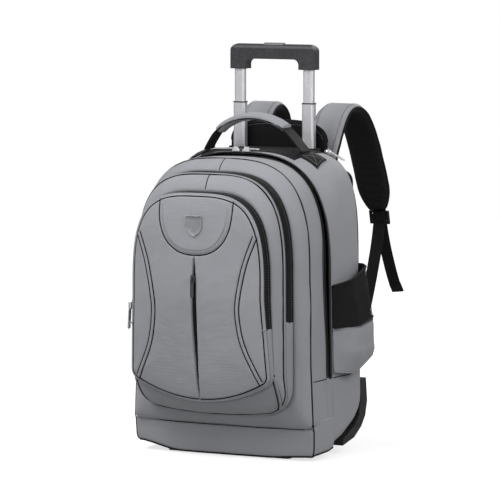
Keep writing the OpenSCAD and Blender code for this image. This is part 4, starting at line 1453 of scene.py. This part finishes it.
PAD_LINE = [[70, 97, 458], [70, 101, 480], [70, 122, 518], [71, 146, 550], [73, 176, 560],
            [76, 206, 546], [81, 228, 510], [87, 244, 460], [93, 256, 410], [96, 262, 384]]
WEB_LINE = [[98, 262, 354], [100, 246, 312], [106, 208, 250], [116, 154, 184], [122, 112, 132]]
TAB_LINE = [[122.4, 110, 130], [124, 104, 122], [125, Y_BOARD + 12, 116], [125, Y_BOARD + 6, 122],
            [125, Y_BOARD + 3, 132]]
ROOT_LINE = [[70, Y_BOARD + 3, 428], [70, Y_BOARD + 9, 440], [70, 93, 450], [70, 97.5, 460]]
TAIL_LINE = [[99, 271, 352], [101, 279, 322], [104, 289, 290], [108, 300, 258], [111, 311, 238]]
BUCKLE = np.array([97, 266, 372])
PAD_SIDES, PAD_ROWS, PAD_END = 40, 90, 12


def webbing(name, line, wide, thick, body, **more):
    """A length of webbing that lies across the case."""
    return band_piece(name, line, ACROSS, wide, thick, "webbing", body, 5, **more)


def build_pad(tag, sign):
    """A shoulder strap's pad: cloth outside, spacer mesh inside, bound and stitched along both edges."""
    body = f"strap_{tag}"
    line = smooth_line(PAD_LINE, PAD_ROWS) * [sign, 1, 1]
    ends = np.ones(PAD_ROWS)
    ends[-PAD_END:] = np.cos(np.linspace(0, 1.15, PAD_END)) ** 0.7
    rows = band(line, ACROSS, 57, 14, 3.2, PAD_SIDES, ends)
    rows = rows + unit(rows - line[:, None]) * ripple(rows, 0.5, 20, sign)[..., None]
    half = PAD_SIDES // 2
    outer = sheet_of(f"pad_outer_{tag}", rows[:, :half + 1], "grey_fabric", body, 1.6, centre=line,
                     stands_for=[f"shoulder_pad_{tag}"])
    under = list(range(half, PAD_SIDES)) + [0]
    inner = sheet_of(f"pad_inner_{tag}", rows[:, under], "black_foam", body, 1.6, centre=line)
    edges = np.vstack([rows[:, 0], rows[::-1, half]])
    cord_piece(f"pad_binding_{tag}", [edges], 2.3, "black_fabric", body)
    return line, rows


def build_straps():
    """Each strap's pad, its webbing and tail, and the tab and root that bend into the case."""
    for tag, sign in SIDES:
        body = f"strap_{tag}"
        flip = np.array([sign, 1, 1])
        line, rows = build_pad(tag, sign)
        end = smooth_line([line[-4], BUCKLE * flip + [0, 0, 8], BUCKLE * flip + [0, 2.6, -1]], 20)
        webbing(f"pad_end_tab_{tag}", end, 25, 2.2, body)
        web = smooth_line([BUCKLE + [0, -3.2, 6], BUCKLE + [0.4, -3.6, -8]] + WEB_LINE, 90) * flip
        webbing(f"lower_web_{tag}", web, 22, 1.6, body, stands_for=[f"strap_web_{tag}"])
        tail = smooth_line([BUCKLE + [0.2, 3.4, 4], BUCKLE + [0.6, 4.2, -10]] + TAIL_LINE, 70) * flip
        webbing(f"tail_web_{tag}", tail, 22, 1.6, body)
        webbing(f"tail_hem_{tag}", tail[-9:], 22.6, 3.6, body)
        tab = webbing(f"lower_tab_{tag}", smooth_line(TAB_LINE, 30) * flip, 29, 2.0, None)
        row([123 * sign, 114, 132])
        row([125 * sign, 90, 118])
        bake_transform(tab)
        root = band_piece(f"pad_root_{tag}", smooth_line(ROOT_LINE, 24) * flip, ACROSS, 55, 7, "grey_fabric",
                          None, 3.2)
        row([70 * sign, 86, 440])
        row([70 * sign, 97, 458])
        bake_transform(root)
        mid = rows[2:-8, PAD_SIDES // 4]
        lines = [(mid + [side * 21.5, 0, 0], unit(mid - line[2:-8])) for side in (-1, 1)]
        stitches(f"pad_stitches_{tag}", lines, body)


# ---------------------------------------------------------------- CAD parts that are kept


def build_kept():
    """Better materials and rounded edges for the CAD parts that stay."""
    slots = {part["node"]: part["material_slot"] for part in frame["record"]["subparts"]}
    widths = {"wheel_tub": 1.2, "front_skid": 1.0, "wheel_housings": 0.8, "tube_bezel": 1.2,
              "grip_front": 1.3, "grip_rear": 1.3, "release_button": 1.0, "tube_collars": 0.4}
    for tag in ("left", "right"):
        widths.update({f"hub_{tag}": 0.7, f"tyre_{tag}": 1.2, f"buckle_{tag}": 0.9})
    for node, obj in frame["nodes"].items():
        if obj.hide_render:
            continue
        width = widths.get(node, 0.0)
        if "slider" in node or "pull" in node:
            width = 0.45
        obj.data.materials.clear()
        obj.data.materials.append(SMOKED if node.startswith("centre_") else STUFF[slots[node]])
        if width:
            bevel(obj, width, 3 if width > 1.1 else 2)


BADGE_Z = 386.0


def build_badge():
    """A plain shield-shaped plate with a raised rim, and nothing written on it."""
    half = [[0, 17.5], [6, 16.2], [11.5, 17.2], [15.5, 16], [15, 7.5], [15.6, 0], [13, -8], [7.5, -14],
            [0, -18.5]]
    right = smooth_line(half, 40)
    shape = resample(np.vstack([right, right[-2:0:-1] * [-1, 1]]), 90, closed=True)
    y_face = float(pouch_face_y(np.array([[14.0, BADGE_Z]]))[0]) - 0.2
    rings = [(1.0, 0.4), (1.0, -1.3), (0.96, -2.2), (0.9, -2.1), (0.87, -1.1), (0.5, -1.25), (0.02, -1.5)]
    rows = [at_y(shape * scale + [0, BADGE_Z], y_face + depth) for scale, depth in rings]
    sheet_of("badge_plate", rows, "badge_metal", "front_pouch", wrap=True, stands_for=["badge"])


def zip_ends():
    """A short welt at each end of the pockets' zips, where the tape is sewn in."""
    for tag, arch, y, z, body in (("pouch", POCKET, Y_POUCH_ZIP, POUCH_ZIP_Z, "front_pouch"),
                                  ("middle", MIDDLE, Y_MIDDLE_ZIP, MIDDLE_ZIP_Z, "middle_section")):
        lines = []
        for sign in (-1, 1):
            x = sign * cut_half(arch, z, -0.4)[2][0]
            lines.append([[x, y - 12 + 12 * k, z] for k in np.linspace(0, 1, 6)])
        cord_piece(tag + "_zip_end_welts", lines, 1.3, "grey_fabric", body)


build_pouch()
build_slit_zip()
build_middle()
build_front()
build_gores()
build_rear()
build_base()
build_back()
build_flap()
build_side_pockets()
build_handle()
build_straps()
build_badge()
zip_ends()
build_kept()

bpy.context.view_layer.update()
